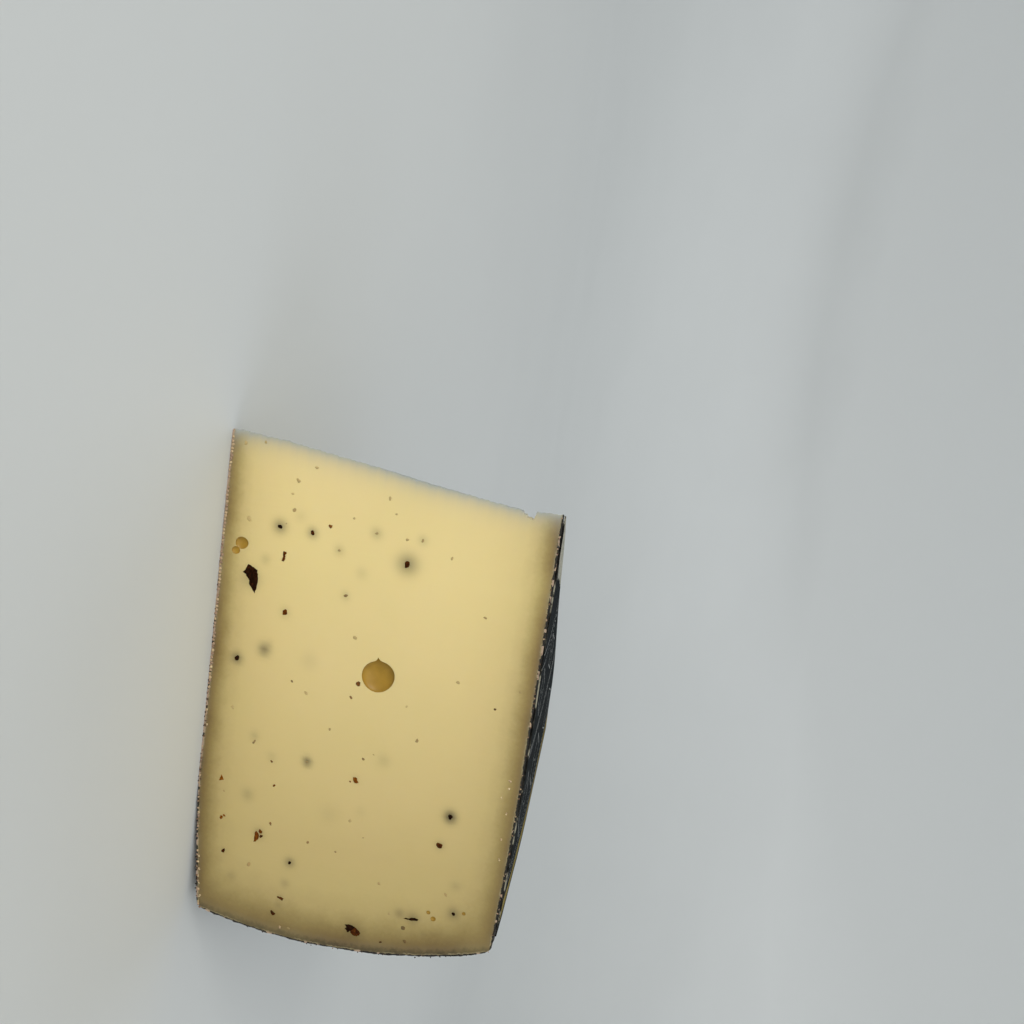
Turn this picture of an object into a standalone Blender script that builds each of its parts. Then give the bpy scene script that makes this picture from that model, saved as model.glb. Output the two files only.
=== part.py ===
"""A cut wedge of semi-soft truffle cheese with its paper label, from a wheel 238 mm across.

Metres, +Z up. The wedge stands on the wheel's flat underside with the label on top. Its shown
cut face looks towards -Y, its tip points to -X and its rind to +X. The origin is on the floor,
under the middle of the wedge's box.
"""
import math
import random

import bmesh
import bpy
from mathutils import Matrix, Vector

MM = 0.001
OBJECT_NAME = "truffle_cheese_wedge"

# The wheel that the wedge was cut from
WHEEL_HEIGHT = 80 * MM
WHEEL_RADIUS = 118.9 * MM
WIDEST_HEIGHT = 32 * MM
SIDE_ARC_RADIUS = 135 * MM
SHOULDER = 2.5 * MM
TOP_FALL = 1.6 * MM
TOP_FALL_FROM = 65 * MM
BASE_RISE = 3.0 * MM
BASE_RISE_FROM = 80 * MM
EDGE_CURVE = 1.35
TURN_STEPS = 104

# The two knife cuts
WEDGE_ANGLE = math.radians(42.2)
TIP_AT_BASE = -7.7 * MM
TIP_AT_TOP = -0.4 * MM
TIP_BLUNT = 0.8 * MM
KNIFE_SPAN = 300 * MM
KNIFE_DROP = 20 * MM
KNIFE_CELL = 10 * MM
KNIFE_WAVE = 0.22 * MM
WIRE_BOW = 0.7 * MM
WIRE_BOW_HEIGHT = 62 * MM
WIRE_BOW_WIDTH = 17 * MM
CHIP_HEIGHT = 72.3 * MM
CHIP_RADIUS = 1.7 * MM
CHIP_INSET = 1.9 * MM
CHIP_TURN = math.radians(17)
CHIP_SEED = 5

# The paper label on the wheel's top
LABEL_RADIUS = 106 * MM
LABEL_THICKNESS = 0.4 * MM
LABEL_GAP = 0.3 * MM

# Eyes in the paste on the shown cut: along the cut, height, mouth radius
EYES = (
    (46.4 * MM, 42.1 * MM, 4.0 * MM),
    (19.8 * MM, 5.5 * MM, 1.3 * MM),
    (21.8 * MM, 3.8 * MM, 1.0 * MM),
)
EYE_DEEPER = 1.15

# Truffle pieces that stand out on the shown cut: along, height, length, width, turn in degrees
SHOWN_PIECES = (
    (28.3 * MM, 8.4 * MM, 7.6 * MM, 3.3 * MM, 27),
    (112.2 * MM, 43.8 * MM, 3.9 * MM, 2.9 * MM, 75),
    (92.8 * MM, 17.0 * MM, 3.3 * MM, 2.4 * MM, 35),
    (21.2 * MM, 15.6 * MM, 2.9 * MM, 1.2 * MM, 5),
    (106.2 * MM, 59.0 * MM, 2.9 * MM, 1.1 * MM, 80),
    (17.9 * MM, 45.5 * MM, 2.0 * MM, 1.7 * MM, 20),
    (77.7 * MM, 64.2 * MM, 1.9 * MM, 1.8 * MM, 0),
    (85.7 * MM, 62.4 * MM, 2.0 * MM, 1.6 * MM, 60),
    (48.4 * MM, 6.8 * MM, 1.7 * MM, 1.7 * MM, 0),
    (73.2 * MM, 39.7 * MM, 1.7 * MM, 1.5 * MM, 40),
    (108.3 * MM, 24.4 * MM, 2.0 * MM, 1.1 * MM, 80),
    (34.8 * MM, 17.4 * MM, 1.6 * MM, 1.3 * MM, 15),
)
CROWD_SEED = 41
SHOWN_CROWD = 26
HIDDEN_CROWD = 52
CROWD_LENGTHS = (1.1 * MM, 3.6 * MM)
CROWD_CLEAR = 3.5 * MM
CROWD_MARGIN = 5 * MM
PIECE_PROUD = 0.35 * MM
PIECE_UNEVEN = 0.18

# The wheel's axis, placed so that the wedge's box is centred on the origin
AXIS_PLACE = Vector((-55.9 * MM, -40.95 * MM, 0))


def clear_scene():
    """Empty the file of objects."""
    for old in list(bpy.data.objects):
        bpy.data.objects.remove(old, do_unlink=True)


def new_collection(name):
    """A collection linked to the scene."""
    made = bpy.data.collections.new(name)
    bpy.context.scene.collection.children.link(made)
    return made


def new_object(name, mesh, collection, parent):
    """An object for a mesh, hung on the wheel's axis."""
    made = bpy.data.objects.new(name, mesh)
    collection.objects.link(made)
    made.parent = parent
    return made


def principled(name, color, roughness):
    """A plain Principled material."""
    made = bpy.data.materials.new(name)
    made.use_nodes = True
    shader = made.node_tree.nodes["Principled BSDF"]
    shader.inputs["Base Color"].default_value = (*color, 1)
    shader.inputs["Roughness"].default_value = roughness
    return made


def side_radius(height):
    """Radius of the bulged side at a height."""
    off = height - WIDEST_HEIGHT
    return WHEEL_RADIUS - SIDE_ARC_RADIUS + math.sqrt(SIDE_ARC_RADIUS ** 2 - off ** 2)


def edge_share(radius, start):
    """How far a flat face has turned down at a radius, from 0 at start to 1 at the rim."""
    reach = (radius - start) / (WHEEL_RADIUS - start)
    return max(reach, 0) ** EDGE_CURVE


def top_height(radius):
    """Height of the label face, which falls a little towards the rim."""
    return WHEEL_HEIGHT - TOP_FALL * edge_share(radius, TOP_FALL_FROM)


def base_height(radius):
    """Height of the underside, flat in the middle and rising a little towards the rim."""
    return BASE_RISE * edge_share(radius, BASE_RISE_FROM)


def corner_height(face_height, guess):
    """Height where a flat face meets the bulged side."""
    for _ in range(12):
        guess = face_height(side_radius(guess))
    return guess


def rounded(corner, before, after, steps=4):
    """Points of a soft shoulder that replaces a corner."""
    first = corner + (before - corner).normalized() * SHOULDER
    last = corner + (after - corner).normalized() * SHOULDER
    points = []
    for step in range(steps + 1):
        share = step / steps
        points.append(first.lerp(corner, share).lerp(corner.lerp(last, share), share))
    return points


def wheel_profile():
    """Half outline of the wheel, from the middle of its top round the side to the base."""
    top_z = corner_height(top_height, WHEEL_HEIGHT)
    base_z = corner_height(base_height, 0)
    top_corner = Vector((side_radius(top_z), top_z))
    base_corner = Vector((side_radius(base_z), base_z))
    reaches = [radius * MM for radius in (0, 25, 50, 65, 75, 85, 94, 102)]
    top = [Vector((radius, top_height(radius))) for radius in reaches]
    base = [Vector((radius, base_height(radius))) for radius in (108 * MM, *reversed(reaches))]
    side = []
    side_steps = 11
    for step in range(1, side_steps):
        height = top_z + (base_z - top_z) * step / side_steps
        side.append(Vector((side_radius(height), height)))
    upper = rounded(top_corner, top[-1], side[0])
    lower = rounded(base_corner, side[-1], base[0])
    return top + upper + side + lower + base


def label_profile():
    """Closed outline of the label's half section, following the cheese under it."""
    reaches = [LABEL_RADIUS * step / 10 for step in range(11)]
    upper = [Vector((r, top_height(r) + LABEL_GAP + LABEL_THICKNESS)) for r in reaches]
    lower = [Vector((r, top_height(r) + LABEL_GAP)) for r in reversed(reaches)]
    return upper + lower


def turned(name, outline, collection, axis):
    """A half outline turned round the wheel's axis."""
    mesh = bpy.data.meshes.new(name)
    points = [(point.x, 0, point.y) for point in outline]
    edges = [(index, index + 1) for index in range(len(points) - 1)]
    mesh.from_pydata(points, edges, [])
    made = new_object(name, mesh, collection, axis)
    screw = made.modifiers.new("turn", "SCREW")
    screw.steps = TURN_STEPS
    screw.render_steps = TURN_STEPS
    screw.use_merge_vertices = True
    screw.merge_threshold = 0.02 * MM
    return made


def shown_cut():
    """Frame of the shown cut: u runs from the axis to the rind, v up, w out of the cheese."""
    frame = Matrix.Identity(4)
    frame.col[0].xyz = (1, 0, 0)
    frame.col[1].xyz = (0, 0, 1)
    frame.col[2].xyz = (0, -1, 0)
    return frame


def hidden_cut():
    """Frame of the hidden cut, which leans because the wire missed the middle at the base."""
    along = Vector((math.cos(WEDGE_ANGLE), math.sin(WEDGE_ANGLE), 0))
    tip_line = Vector((TIP_AT_TOP - TIP_AT_BASE, 0, WHEEL_HEIGHT))
    outward = tip_line.cross(along).normalized()
    frame = Matrix.Identity(4)
    frame.col[0].xyz = -along
    frame.col[1].xyz = outward.cross(-along)
    frame.col[2].xyz = outward
    frame.col[3].xyz = (TIP_AT_BASE, 0, 0)
    return frame


def shown_wave(u, v):
    """How far the shown cut stands proud of its plane."""
    long_wave = math.sin(math.tau * (u / 0.075 + v / 0.16) + 0.6)
    short_wave = math.sin(math.tau * (v / 0.048 - u / 0.21) + 1.9)
    return KNIFE_WAVE * (0.6 * long_wave + 0.4 * short_wave)


def hidden_wave(u, v):
    """The hidden cut has the same waves, and is hollow where the wire bowed."""
    bow = math.exp(-((v - WIRE_BOW_HEIGHT) / WIRE_BOW_WIDTH) ** 2)
    return shown_wave(0.03 - u, v) - WIRE_BOW * bow


def knife_block(name, frame, wave, collection, axis):
    """The block of wheel that a knife cut takes away, with the cut's wavy face on it."""
    columns = round(KNIFE_SPAN / KNIFE_CELL)
    rows = round((WHEEL_HEIGHT + 2 * KNIFE_DROP) / KNIFE_CELL)
    mesh = bmesh.new()
    bmesh.ops.create_grid(mesh, x_segments=columns, y_segments=rows, size=0.5)
    for vert in mesh.verts:
        u = vert.co.x * KNIFE_SPAN
        v = vert.co.y * rows * KNIFE_CELL + WHEEL_HEIGHT / 2
        vert.co = (u, v, wave(u, v))
    extruded = bmesh.ops.extrude_face_region(mesh, geom=mesh.faces[:])
    far = [item for item in extruded["geom"] if isinstance(item, bmesh.types.BMVert)]
    bmesh.ops.translate(mesh, verts=far, vec=(0, 0, KNIFE_SPAN))
    bmesh.ops.transform(mesh, matrix=frame, verts=mesh.verts)
    bmesh.ops.recalc_face_normals(mesh, faces=mesh.faces)
    return cutter(name, mesh, collection, axis)


def cutter(name, mesh, collection, axis):
    """A finished cutter that shows as wire and is left out of the model."""
    data = bpy.data.meshes.new(name)
    mesh.to_mesh(data)
    mesh.free()
    made = new_object(name, data, collection, axis)
    made.hide_render = True
    made.display_type = "WIRE"
    return made


def tip_place(height):
    """Point of the sharp tip line at a height."""
    share = height / WHEEL_HEIGHT
    return Vector((TIP_AT_BASE + (TIP_AT_TOP - TIP_AT_BASE) * share, 0, height))


def tip_trim(collection, axis):
    """A box along the tip line that leaves the thin edge blunt."""
    length = WHEEL_HEIGHT + 2 * KNIFE_DROP
    depth = 12 * MM
    mesh = bmesh.new()
    bmesh.ops.create_cube(mesh, size=1)
    bmesh.ops.scale(mesh, vec=(depth, depth, length), verts=mesh.verts)
    bmesh.ops.translate(mesh, vec=(TIP_BLUNT - depth / 2, 0, 0), verts=mesh.verts)
    lean = math.atan2(TIP_AT_TOP - TIP_AT_BASE, WHEEL_HEIGHT)
    turn = Matrix.Rotation(lean, 4, "Y") @ Matrix.Rotation(WEDGE_ANGLE / 2, 4, "Z")
    place = Matrix.Translation(tip_place(WHEEL_HEIGHT / 2)) @ turn
    bmesh.ops.transform(mesh, matrix=place, verts=mesh.verts)
    return cutter("tip_trim", mesh, collection, axis)


def tip_chip(collection, axis):
    """The crumb that broke out of the tip edge near the label."""
    draw = random.Random(CHIP_SEED)
    mesh = bmesh.new()
    bmesh.ops.create_icosphere(mesh, subdivisions=2, radius=CHIP_RADIUS)
    for vert in mesh.verts:
        vert.co *= 1 + draw.uniform(-PIECE_UNEVEN, PIECE_UNEVEN)
    place = Matrix.Translation(tip_place(CHIP_HEIGHT) + Vector((CHIP_INSET, 0, 0)))
    bmesh.ops.transform(mesh, matrix=place @ Matrix.Rotation(CHIP_TURN, 4, "Y"), verts=mesh.verts)
    return cutter("tip_chip", mesh, collection, axis)


def eye_hole(number, along, height, mouth, collection, axis):
    """A round gas hole that the cut opened, a little deeper than its mouth is wide."""
    radius = mouth * EYE_DEEPER
    sunk = math.sqrt(radius ** 2 - mouth ** 2)
    mesh = bmesh.new()
    segments = 20 if mouth > 2 * MM else 10
    bmesh.ops.create_uvsphere(mesh, u_segments=segments, v_segments=segments // 2, radius=radius)
    place = shown_cut() @ Vector((along, height, shown_wave(along, height) - sunk))
    bmesh.ops.translate(mesh, vec=place, verts=mesh.verts)
    return cutter(f"eye_{number}", mesh, collection, axis)


def truffle_piece(name, frame, wave, spot, draw, collection, axis):
    """A low, uneven pebble of truffle, half sunk in a cut face."""
    u, v, length, width, turn = spot
    mesh = bmesh.new()
    bmesh.ops.create_icosphere(mesh, subdivisions=1, radius=1)
    for vert in mesh.verts:
        vert.co *= 1 + draw.uniform(-PIECE_UNEVEN, PIECE_UNEVEN)
    bmesh.ops.scale(mesh, vec=(length / 2, width / 2, PIECE_PROUD), verts=mesh.verts)
    place = frame @ Matrix.Translation((u, v, wave(u, v)))
    place = place @ Matrix.Rotation(math.radians(turn), 4, "Z")
    bmesh.ops.transform(mesh, matrix=place, verts=mesh.verts)
    return cutter(name, mesh, collection, axis)


def crowd(count, frame, taken, draw):
    """Spots for smaller pieces, spread over a cut and clear of each other and of the eyes."""
    spots = []
    along_sign = frame.col[0].x
    start = 0 if along_sign > 0 else 8 * MM
    while len(spots) < count:
        along = draw.uniform(start + CROWD_MARGIN, WHEEL_RADIUS - 2 * CROWD_MARGIN)
        height = draw.uniform(CROWD_MARGIN, WHEEL_HEIGHT - CROWD_MARGIN)
        least, most = CROWD_LENGTHS
        length = least + (most - least) * draw.random() ** 3
        width = length * draw.uniform(0.55, 0.95)
        turn = draw.uniform(0, 180)
        u = math.copysign(along, along_sign)
        near = [other for other in taken if math.dist(other[:2], (u, height)) < other[2] + CROWD_CLEAR]
        if near:
            continue
        spot = (u, height, length, width, turn)
        spots.append(spot)
        taken.append(spot)
    return spots


def truffle_pieces(collection, axis):
    """All the truffle pieces of both cuts."""
    draw = random.Random(CROWD_SEED)
    eyes = [(along, height, 2 * mouth) for along, height, mouth in EYES]
    shown = list(SHOWN_PIECES) + crowd(SHOWN_CROWD, shown_cut(), eyes + list(SHOWN_PIECES), draw)
    hidden = crowd(HIDDEN_CROWD, hidden_cut(), [], draw)
    for number, spot in enumerate(shown):
        truffle_piece(f"shown_piece_{number}", shown_cut(), shown_wave, spot, draw, collection, axis)
    for number, spot in enumerate(hidden):
        truffle_piece(f"hidden_piece_{number}", hidden_cut(), hidden_wave, spot, draw, collection, axis)


def boolean(target, operation, tool, solver="EXACT"):
    """A Boolean modifier with one object or a whole collection as its tool."""
    made = target.modifiers.new(operation.lower(), "BOOLEAN")
    made.operation = operation
    made.solver = solver
    if isinstance(tool, bpy.types.Collection):
        made.operand_type = "COLLECTION"
        made.collection = tool
    else:
        made.object = tool


def apply_modifiers(target):
    """Keep the evaluated mesh and drop the modifiers."""
    evaluated = target.evaluated_get(bpy.context.evaluated_depsgraph_get())
    mesh = bpy.data.meshes.new_from_object(evaluated)
    target.modifiers.clear()
    target.data = mesh
    mesh.name = target.name


def soften(target, angle):
    """Shade round faces smooth and keep the cut edges sharp."""
    target.data.shade_smooth()
    target.data.set_sharp_from_angle(angle=math.radians(angle))


def build_cheese(pieces, cutters, eyes, specks, axis):
    """The wedge of cheese: turned, cut, with its eyes opened and its truffle pieces fused on."""
    cheese = turned("cheese_wedge", wheel_profile(), pieces, axis)
    for knife in cutters:
        boolean(cheese, "DIFFERENCE", knife)
    # The exact solver loses the thin tip, so the small cuts use the manifold one
    boolean(cheese, "DIFFERENCE", tip_trim(eyes, axis), "MANIFOLD")
    boolean(cheese, "DIFFERENCE", tip_chip(eyes, axis), "MANIFOLD")
    for number, (along, height, mouth) in enumerate(EYES):
        hole = eye_hole(number, along, height, mouth, eyes, axis)
        boolean(cheese, "DIFFERENCE", hole, "MANIFOLD")
    truffle_pieces(specks, axis)
    boolean(cheese, "UNION", specks, "MANIFOLD")
    apply_modifiers(cheese)
    for piece in list(specks.objects):
        bpy.data.objects.remove(piece, do_unlink=True)
    cheese.data.materials.clear()
    cheese.data.materials.append(principled("cheese_paste", (0.73, 0.6, 0.26), 0.5))
    soften(cheese, 35)
    return cheese


def build_label(pieces, cutters, axis):
    """The sector of the printed paper label that stayed on the wedge."""
    label = turned("paper_label", label_profile(), pieces, axis)
    label.data.materials.append(principled("label_paper", (0.035, 0.042, 0.045), 0.8))
    for knife in cutters:
        boolean(label, "DIFFERENCE", knife)
    return label


def main():
    """Build the wedge."""
    clear_scene()
    pieces = new_collection(OBJECT_NAME)
    knives = new_collection("knife_cuts")
    small_cutters = new_collection("small_cutters")
    specks = new_collection("truffle_pieces")
    axis = bpy.data.objects.new("wheel_axis", None)
    pieces.objects.link(axis)
    axis.location = AXIS_PLACE
    bpy.context.view_layer.update()
    cutters = (
        knife_block("shown_knife", shown_cut(), shown_wave, knives, axis),
        knife_block("hidden_knife", hidden_cut(), hidden_wave, knives, axis),
    )
    build_cheese(pieces, cutters, small_cutters, specks, axis)
    build_label(pieces, cutters, axis)


main()
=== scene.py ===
# %% [markdown]
# # A wedge of truffle cheese
#
# The real thing is a wedge that a wire cut from a matured wheel, with a dark waxy rind, bits of
# truffle in the paste and a sector of printed paper left on its top. This lesson dresses the
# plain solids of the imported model. Each step says what the piece is, how it could be made, and
# why one way was chosen. All lengths are metres, and MM turns millimetres into them.

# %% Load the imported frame
import math
import random

import bmesh
import bpy
import numpy as np
from mathutils import Matrix, Vector


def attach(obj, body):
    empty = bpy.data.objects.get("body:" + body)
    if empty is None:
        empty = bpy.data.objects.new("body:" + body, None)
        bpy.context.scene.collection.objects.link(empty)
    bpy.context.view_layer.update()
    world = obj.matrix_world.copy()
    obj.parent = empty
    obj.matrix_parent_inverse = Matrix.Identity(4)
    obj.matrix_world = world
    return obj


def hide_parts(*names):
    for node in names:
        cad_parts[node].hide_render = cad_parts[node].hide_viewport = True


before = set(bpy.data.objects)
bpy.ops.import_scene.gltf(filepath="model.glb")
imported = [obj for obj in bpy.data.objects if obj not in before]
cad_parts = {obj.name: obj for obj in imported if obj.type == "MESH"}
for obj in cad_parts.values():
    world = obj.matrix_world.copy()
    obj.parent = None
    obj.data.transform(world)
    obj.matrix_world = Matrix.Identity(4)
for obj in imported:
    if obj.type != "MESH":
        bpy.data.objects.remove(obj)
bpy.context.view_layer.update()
scene = bpy.context.scene
MM = 0.001
print("nodes in the frame:", sorted(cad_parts))

# %% [markdown]
# ## Camera
#
# The view is fixed first, because it says how much detail each side needs. The camera looks
# almost straight at the cut face, and it is rolled by a quarter turn, so the wheel's up
# direction runs to the right of the picture. A camera could be turned with angles, but three
# axis directions written as a matrix leave no doubt about the roll.

# %% Place the camera
CAMERA_PLACE = Vector((-0.09540, -0.27514, 0.09668))
PICTURE_RIGHT = Vector((-0.1431, 0.1447, 0.9791)).normalized()
CAMERA_BACK = Vector((-0.1719, -0.9778, 0.1194))
PICTURE_UP = CAMERA_BACK.cross(PICTURE_RIGHT).normalized()
CAMERA_LENS = 36.914

camera = bpy.data.objects.new("camera", bpy.data.cameras.new("camera"))
scene.collection.objects.link(camera)
camera.data.sensor_width = 36
camera.data.lens = CAMERA_LENS
axes = (PICTURE_RIGHT, PICTURE_UP, PICTURE_RIGHT.cross(PICTURE_UP))
camera.matrix_world = Matrix.Translation(CAMERA_PLACE) @ Matrix(axes).transposed().to_4x4()
scene.camera = camera
print("camera is", round(CAMERA_PLACE.length, 3), "m from the middle of the footprint")

# %% [markdown]
# ## Colours and nodes
#
# A colour that is read off a real surface is an sRGB value, but shaders add light in linear
# values, so one function turns the hex code round. Node trees are long to write by hand. One
# small function adds a node, sets its options and fills or links its inputs, for materials and
# for Geometry Nodes alike.

# %% Helpers for colours and nodes
FAMILIES = ("ShaderNode", "GeometryNode", "FunctionNode", "")


def linear(code):
    """An sRGB hex code as the linear colour that nodes work in."""
    shares = [int(code[place:place + 2], 16) / 255 for place in (0, 2, 4)]
    lit = [((s + 0.055) / 1.055) ** 2.4 if s > 0.04045 else s / 12.92 for s in shares]
    return (*lit, 1.0)


def add(kind, *values, out=0, stops=(), **options):
    """
    Add a node to the tree in hand and hand its output back. A second word in the kind is its
    operation or data type. The values, links or hex codes fill the inputs in use in their order.
    Options with a capital are more inputs, by name, and the others are settings.
    """
    kind, _, choice = kind.partition(" ")
    family = next(family for family in FAMILIES if hasattr(bpy.types, family + kind))
    node = tree.nodes.new(family + kind)
    if choice:
        setattr(node, "operation" if "Math" in kind else "data_type", choice)
    for name, value in options.items():
        if name[0].islower():
            setattr(node, name, value)
    used = [socket for socket in node.inputs if socket.enabled]
    titles = {socket.name.replace(" ", "_"): socket for socket in used}
    named = [(titles[name], value) for name, value in options.items() if name[0].isupper()]
    for socket, value in list(zip(used, values)) + named:
        if isinstance(value, bpy.types.NodeSocket):
            tree.links.new(value, socket)
        else:
            socket.default_value = linear(value) if socket.type == "RGBA" else value
    for number, (place, code) in enumerate(stops):
        marks = node.color_ramp.elements
        mark = marks[number] if number < len(marks) else marks.new(place)
        mark.position = place
        mark.color = linear(code)
    if isinstance(out, str):
        return node.outputs[out]
    return next((socket for socket in node.outputs if socket.enabled), node)


def new_finish(name):
    """A material with an empty tree, which comes in hand, and the place on the piece."""
    global tree
    finish = bpy.data.materials.new(name)
    finish.use_nodes = True
    tree = finish.node_tree
    tree.nodes.clear()
    return finish, add("TexCoord", out="Object")


def stored(*names):
    """The numbers that a mesh carries under these names."""
    return [add("Attribute", out="Fac", attribute_name=name) for name in names]


def noises(coords, *rows):
    """Noises of given scale, detail and distortion."""
    return [add("TexNoise", coords, *row[:2], Distortion=(*row, 0, 0)[2]) for row in rows]


def end_finish(colour, roughness, height=None, rise=0, strength=0, **more):
    """The end of a finish: a bump that rises with a height, the shader and the output."""
    if height:
        more["Normal"] = add("Bump", strength, rise, Height=height)
    add("OutputMaterial", add("BsdfPrincipled", colour, Roughness=roughness, **more))


print("cream is", [round(share, 3) for share in linear("e4d29a")])

# %% [markdown]
# ## The wheel's shape
#
# The wheel is turned: a flat top that falls a little towards the rim, a bulged side, and an
# underside that rises a little. The same numbers as in the solid are used here, so the dressed
# wedge fills the same space. The section from the tip to the rind is one sheet of points
# between four border lines. Blending the borders gives even cells that bend with the shoulders.

# %% Outline of the wheel
WHEEL_HEIGHT = 80 * MM
WHEEL_RADIUS = 118.9 * MM
WIDEST_HEIGHT = 32 * MM
SIDE_ARC_RADIUS = 135 * MM
SHOULDER = 2.5 * MM
TOP_FALL = 1.6 * MM
TOP_FALL_FROM = 65 * MM
BASE_RISE = 3.0 * MM
BASE_RISE_FROM = 80 * MM
EDGE_CURVE = 1.35
AXIS_PLACE = np.array((-55.9 * MM, -40.95 * MM, 0))


def side_radius(height):
    """Radius of the bulged side at a height."""
    return WHEEL_RADIUS - SIDE_ARC_RADIUS + np.sqrt(SIDE_ARC_RADIUS ** 2 - (height - WIDEST_HEIGHT) ** 2)


def edge_share(radius, start):
    """How far a flat face has turned down at a radius."""
    return np.maximum((radius - start) / (WHEEL_RADIUS - start), 0) ** EDGE_CURVE


def top_height(radius):
    """Height of the label face."""
    return WHEEL_HEIGHT - TOP_FALL * edge_share(radius, TOP_FALL_FROM)


def base_height(radius):
    """Height of the underside."""
    return BASE_RISE * edge_share(radius, BASE_RISE_FROM)


def shoulder(face_height, height, inward, shares):
    """A rounded corner between a flat face and the side, at shares from the face to the side."""
    for _ in range(12):
        height = float(face_height(side_radius(height)))
    corner = np.array((side_radius(height), height))
    on_face = np.array((corner[0] - SHOULDER, face_height(corner[0] - SHOULDER)))
    on_side = np.array((side_radius(height + inward), height + inward))
    shares = shares[:, None]
    return (1 - shares) ** 2 * on_face + 2 * shares * (1 - shares) * corner + shares ** 2 * on_side


def spaced(points, shares):
    """Points at given shares of the length of a line."""
    steps = np.linalg.norm(np.diff(points, axis=0), axis=1)
    reach = np.concatenate(([0], np.cumsum(steps)))
    return np.column_stack([np.interp(shares * reach[-1], reach, points[:, axis]) for axis in (0, 1)])


halves = (np.linspace(0, 0.5, 9), np.linspace(0.5, 1, 9))
top_turn, top_end = [shoulder(top_height, WHEEL_HEIGHT, -SHOULDER, half) for half in halves]
base_turn, base_end = [shoulder(base_height, 0, SHOULDER, half) for half in halves]
top_reach = np.linspace(0, top_turn[0, 0], 80)[:-1]
base_reach = np.linspace(0, base_turn[0, 0], 80)[:-1]
rise = np.linspace(base_end[-1, 1], top_end[-1, 1], 80)[1:-1]
top_line = np.vstack((np.column_stack((top_reach, top_height(top_reach))), top_turn))
base_line = np.vstack((np.column_stack((base_reach, base_height(base_reach))), base_turn))
side_line = np.vstack((base_end, np.column_stack((side_radius(rise), rise)), top_end[::-1]))
print("side line runs from", side_line[0].round(4), "to", side_line[-1].round(4))

# %% [markdown]
# ## The wire cuts
#
# Two wire cuts free the wedge. A wire never runs quite true, so each cut has slow waves, and
# where the wire bowed the far cut is hollow. The cuts miss the wheel's middle by a few
# millimetres at the base, so the thin edge leans. The edge's own line was measured every few
# millimetres of height, and a small piece has broken out of it near the label.

# %% Cuts and tip line
WEDGE_ANGLE = math.radians(42.2)
TIP_AT_BASE = -7.7 * MM
TIP_AT_TOP = -0.4 * MM
KNIFE_WAVE = 0.22 * MM
WIRE_BOW = 0.7 * MM
WIRE_BOW_HEIGHT = 62 * MM
WIRE_BOW_WIDTH = 17 * MM
EDGE_HEIGHTS = np.array((0, 3.3, 8.4, 13.2, 17.7, 36.2, 48.1, 58.6, 64.8, 70.5, 75, 80)) * MM
EDGE_ALONG = np.array((-6.7, -6.8, -6.4, -6.2, -5.6, -3.4, -1.5, -0.5, 0.3, 1.0, 0.7, 0.4)) * MM
EDGE_SOFT = 0.16 * MM
EDGE_SOFT_REACH = 0.9 * MM

ALONG_CUT = np.array((math.cos(WEDGE_ANGLE), math.sin(WEDGE_ANGLE), 0))
tip_run = np.array((TIP_AT_TOP - TIP_AT_BASE, 0, WHEEL_HEIGHT))
HIDDEN_OUT = np.cross(tip_run, ALONG_CUT)
HIDDEN_OUT /= np.linalg.norm(HIDDEN_OUT)
HIDDEN_UP = np.cross(HIDDEN_OUT, -ALONG_CUT)
HIDDEN_START = np.array((TIP_AT_BASE, 0, 0))
SHOWN_OUT = np.array((0, -1.0, 0))


def tip_along(height):
    """Place along the shown cut of the line where both cuts would meet."""
    return TIP_AT_BASE + (TIP_AT_TOP - TIP_AT_BASE) * height / WHEEL_HEIGHT


def blunt_along(height):
    """Place along the shown cut where the blunt edge really starts."""
    waver = 0.09 * MM * np.sin(height / MM * 1.7) + 0.07 * MM * np.sin(height / MM * 4.3 + 1)
    return np.interp(height, EDGE_HEIGHTS, EDGE_ALONG) + waver


def shown_wave(u, v):
    """How far the shown cut stands proud of its plane."""
    long_wave = np.sin(math.tau * (u / 0.075 + v / 0.16) + 0.6)
    short_wave = np.sin(math.tau * (v / 0.048 - u / 0.21) + 1.9)
    return KNIFE_WAVE * (0.6 * long_wave + 0.4 * short_wave)


def hidden_wave(u, v):
    """How far the hidden cut stands proud of its plane, hollow where the wire bowed."""
    bow = np.exp(-((v - WIRE_BOW_HEIGHT) / WIRE_BOW_WIDTH) ** 2)
    return shown_wave(0.03 - u, v) - WIRE_BOW * bow


print("the hidden cut faces", HIDDEN_OUT.round(3))

# %% [markdown]
# ## The body of the cheese
#
# The body is one closed mesh: two cuts, the blunt edge, the side, the top and the underside.
# A Boolean could cut it from a turned wheel, as in the solid, but that leaves long thin faces
# that don't bend. Here a block of points runs along, up and across the wedge, and only its
# skin gets faces, so every side has even cells that can be pushed and coloured.

# %% Block of points
ALONG_STEPS = 150
HEIGHT_STEPS = 150
ACROSS_STEPS = 108
CLOSER_AT_ENDS = 0.5


def eased(steps, closer):
    """Shares from 0 to 1 that lie closer together at both ends."""
    even = np.linspace(0, 1, steps + 1)
    return even - closer * np.sin(math.tau * even) / math.tau


def blended(low, high, start, end, along, up):
    """A sheet of points between four border lines."""
    t = along[:, None, None]
    u = up[None, :, None]
    sheet = (1 - u) * low[:, None] + u * high[:, None] + (1 - t) * start[None] + t * end[None]
    corners = (1 - t) * ((1 - u) * start[0] + u * start[-1]) + t * ((1 - u) * end[0] + u * end[-1])
    return sheet - corners


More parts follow.
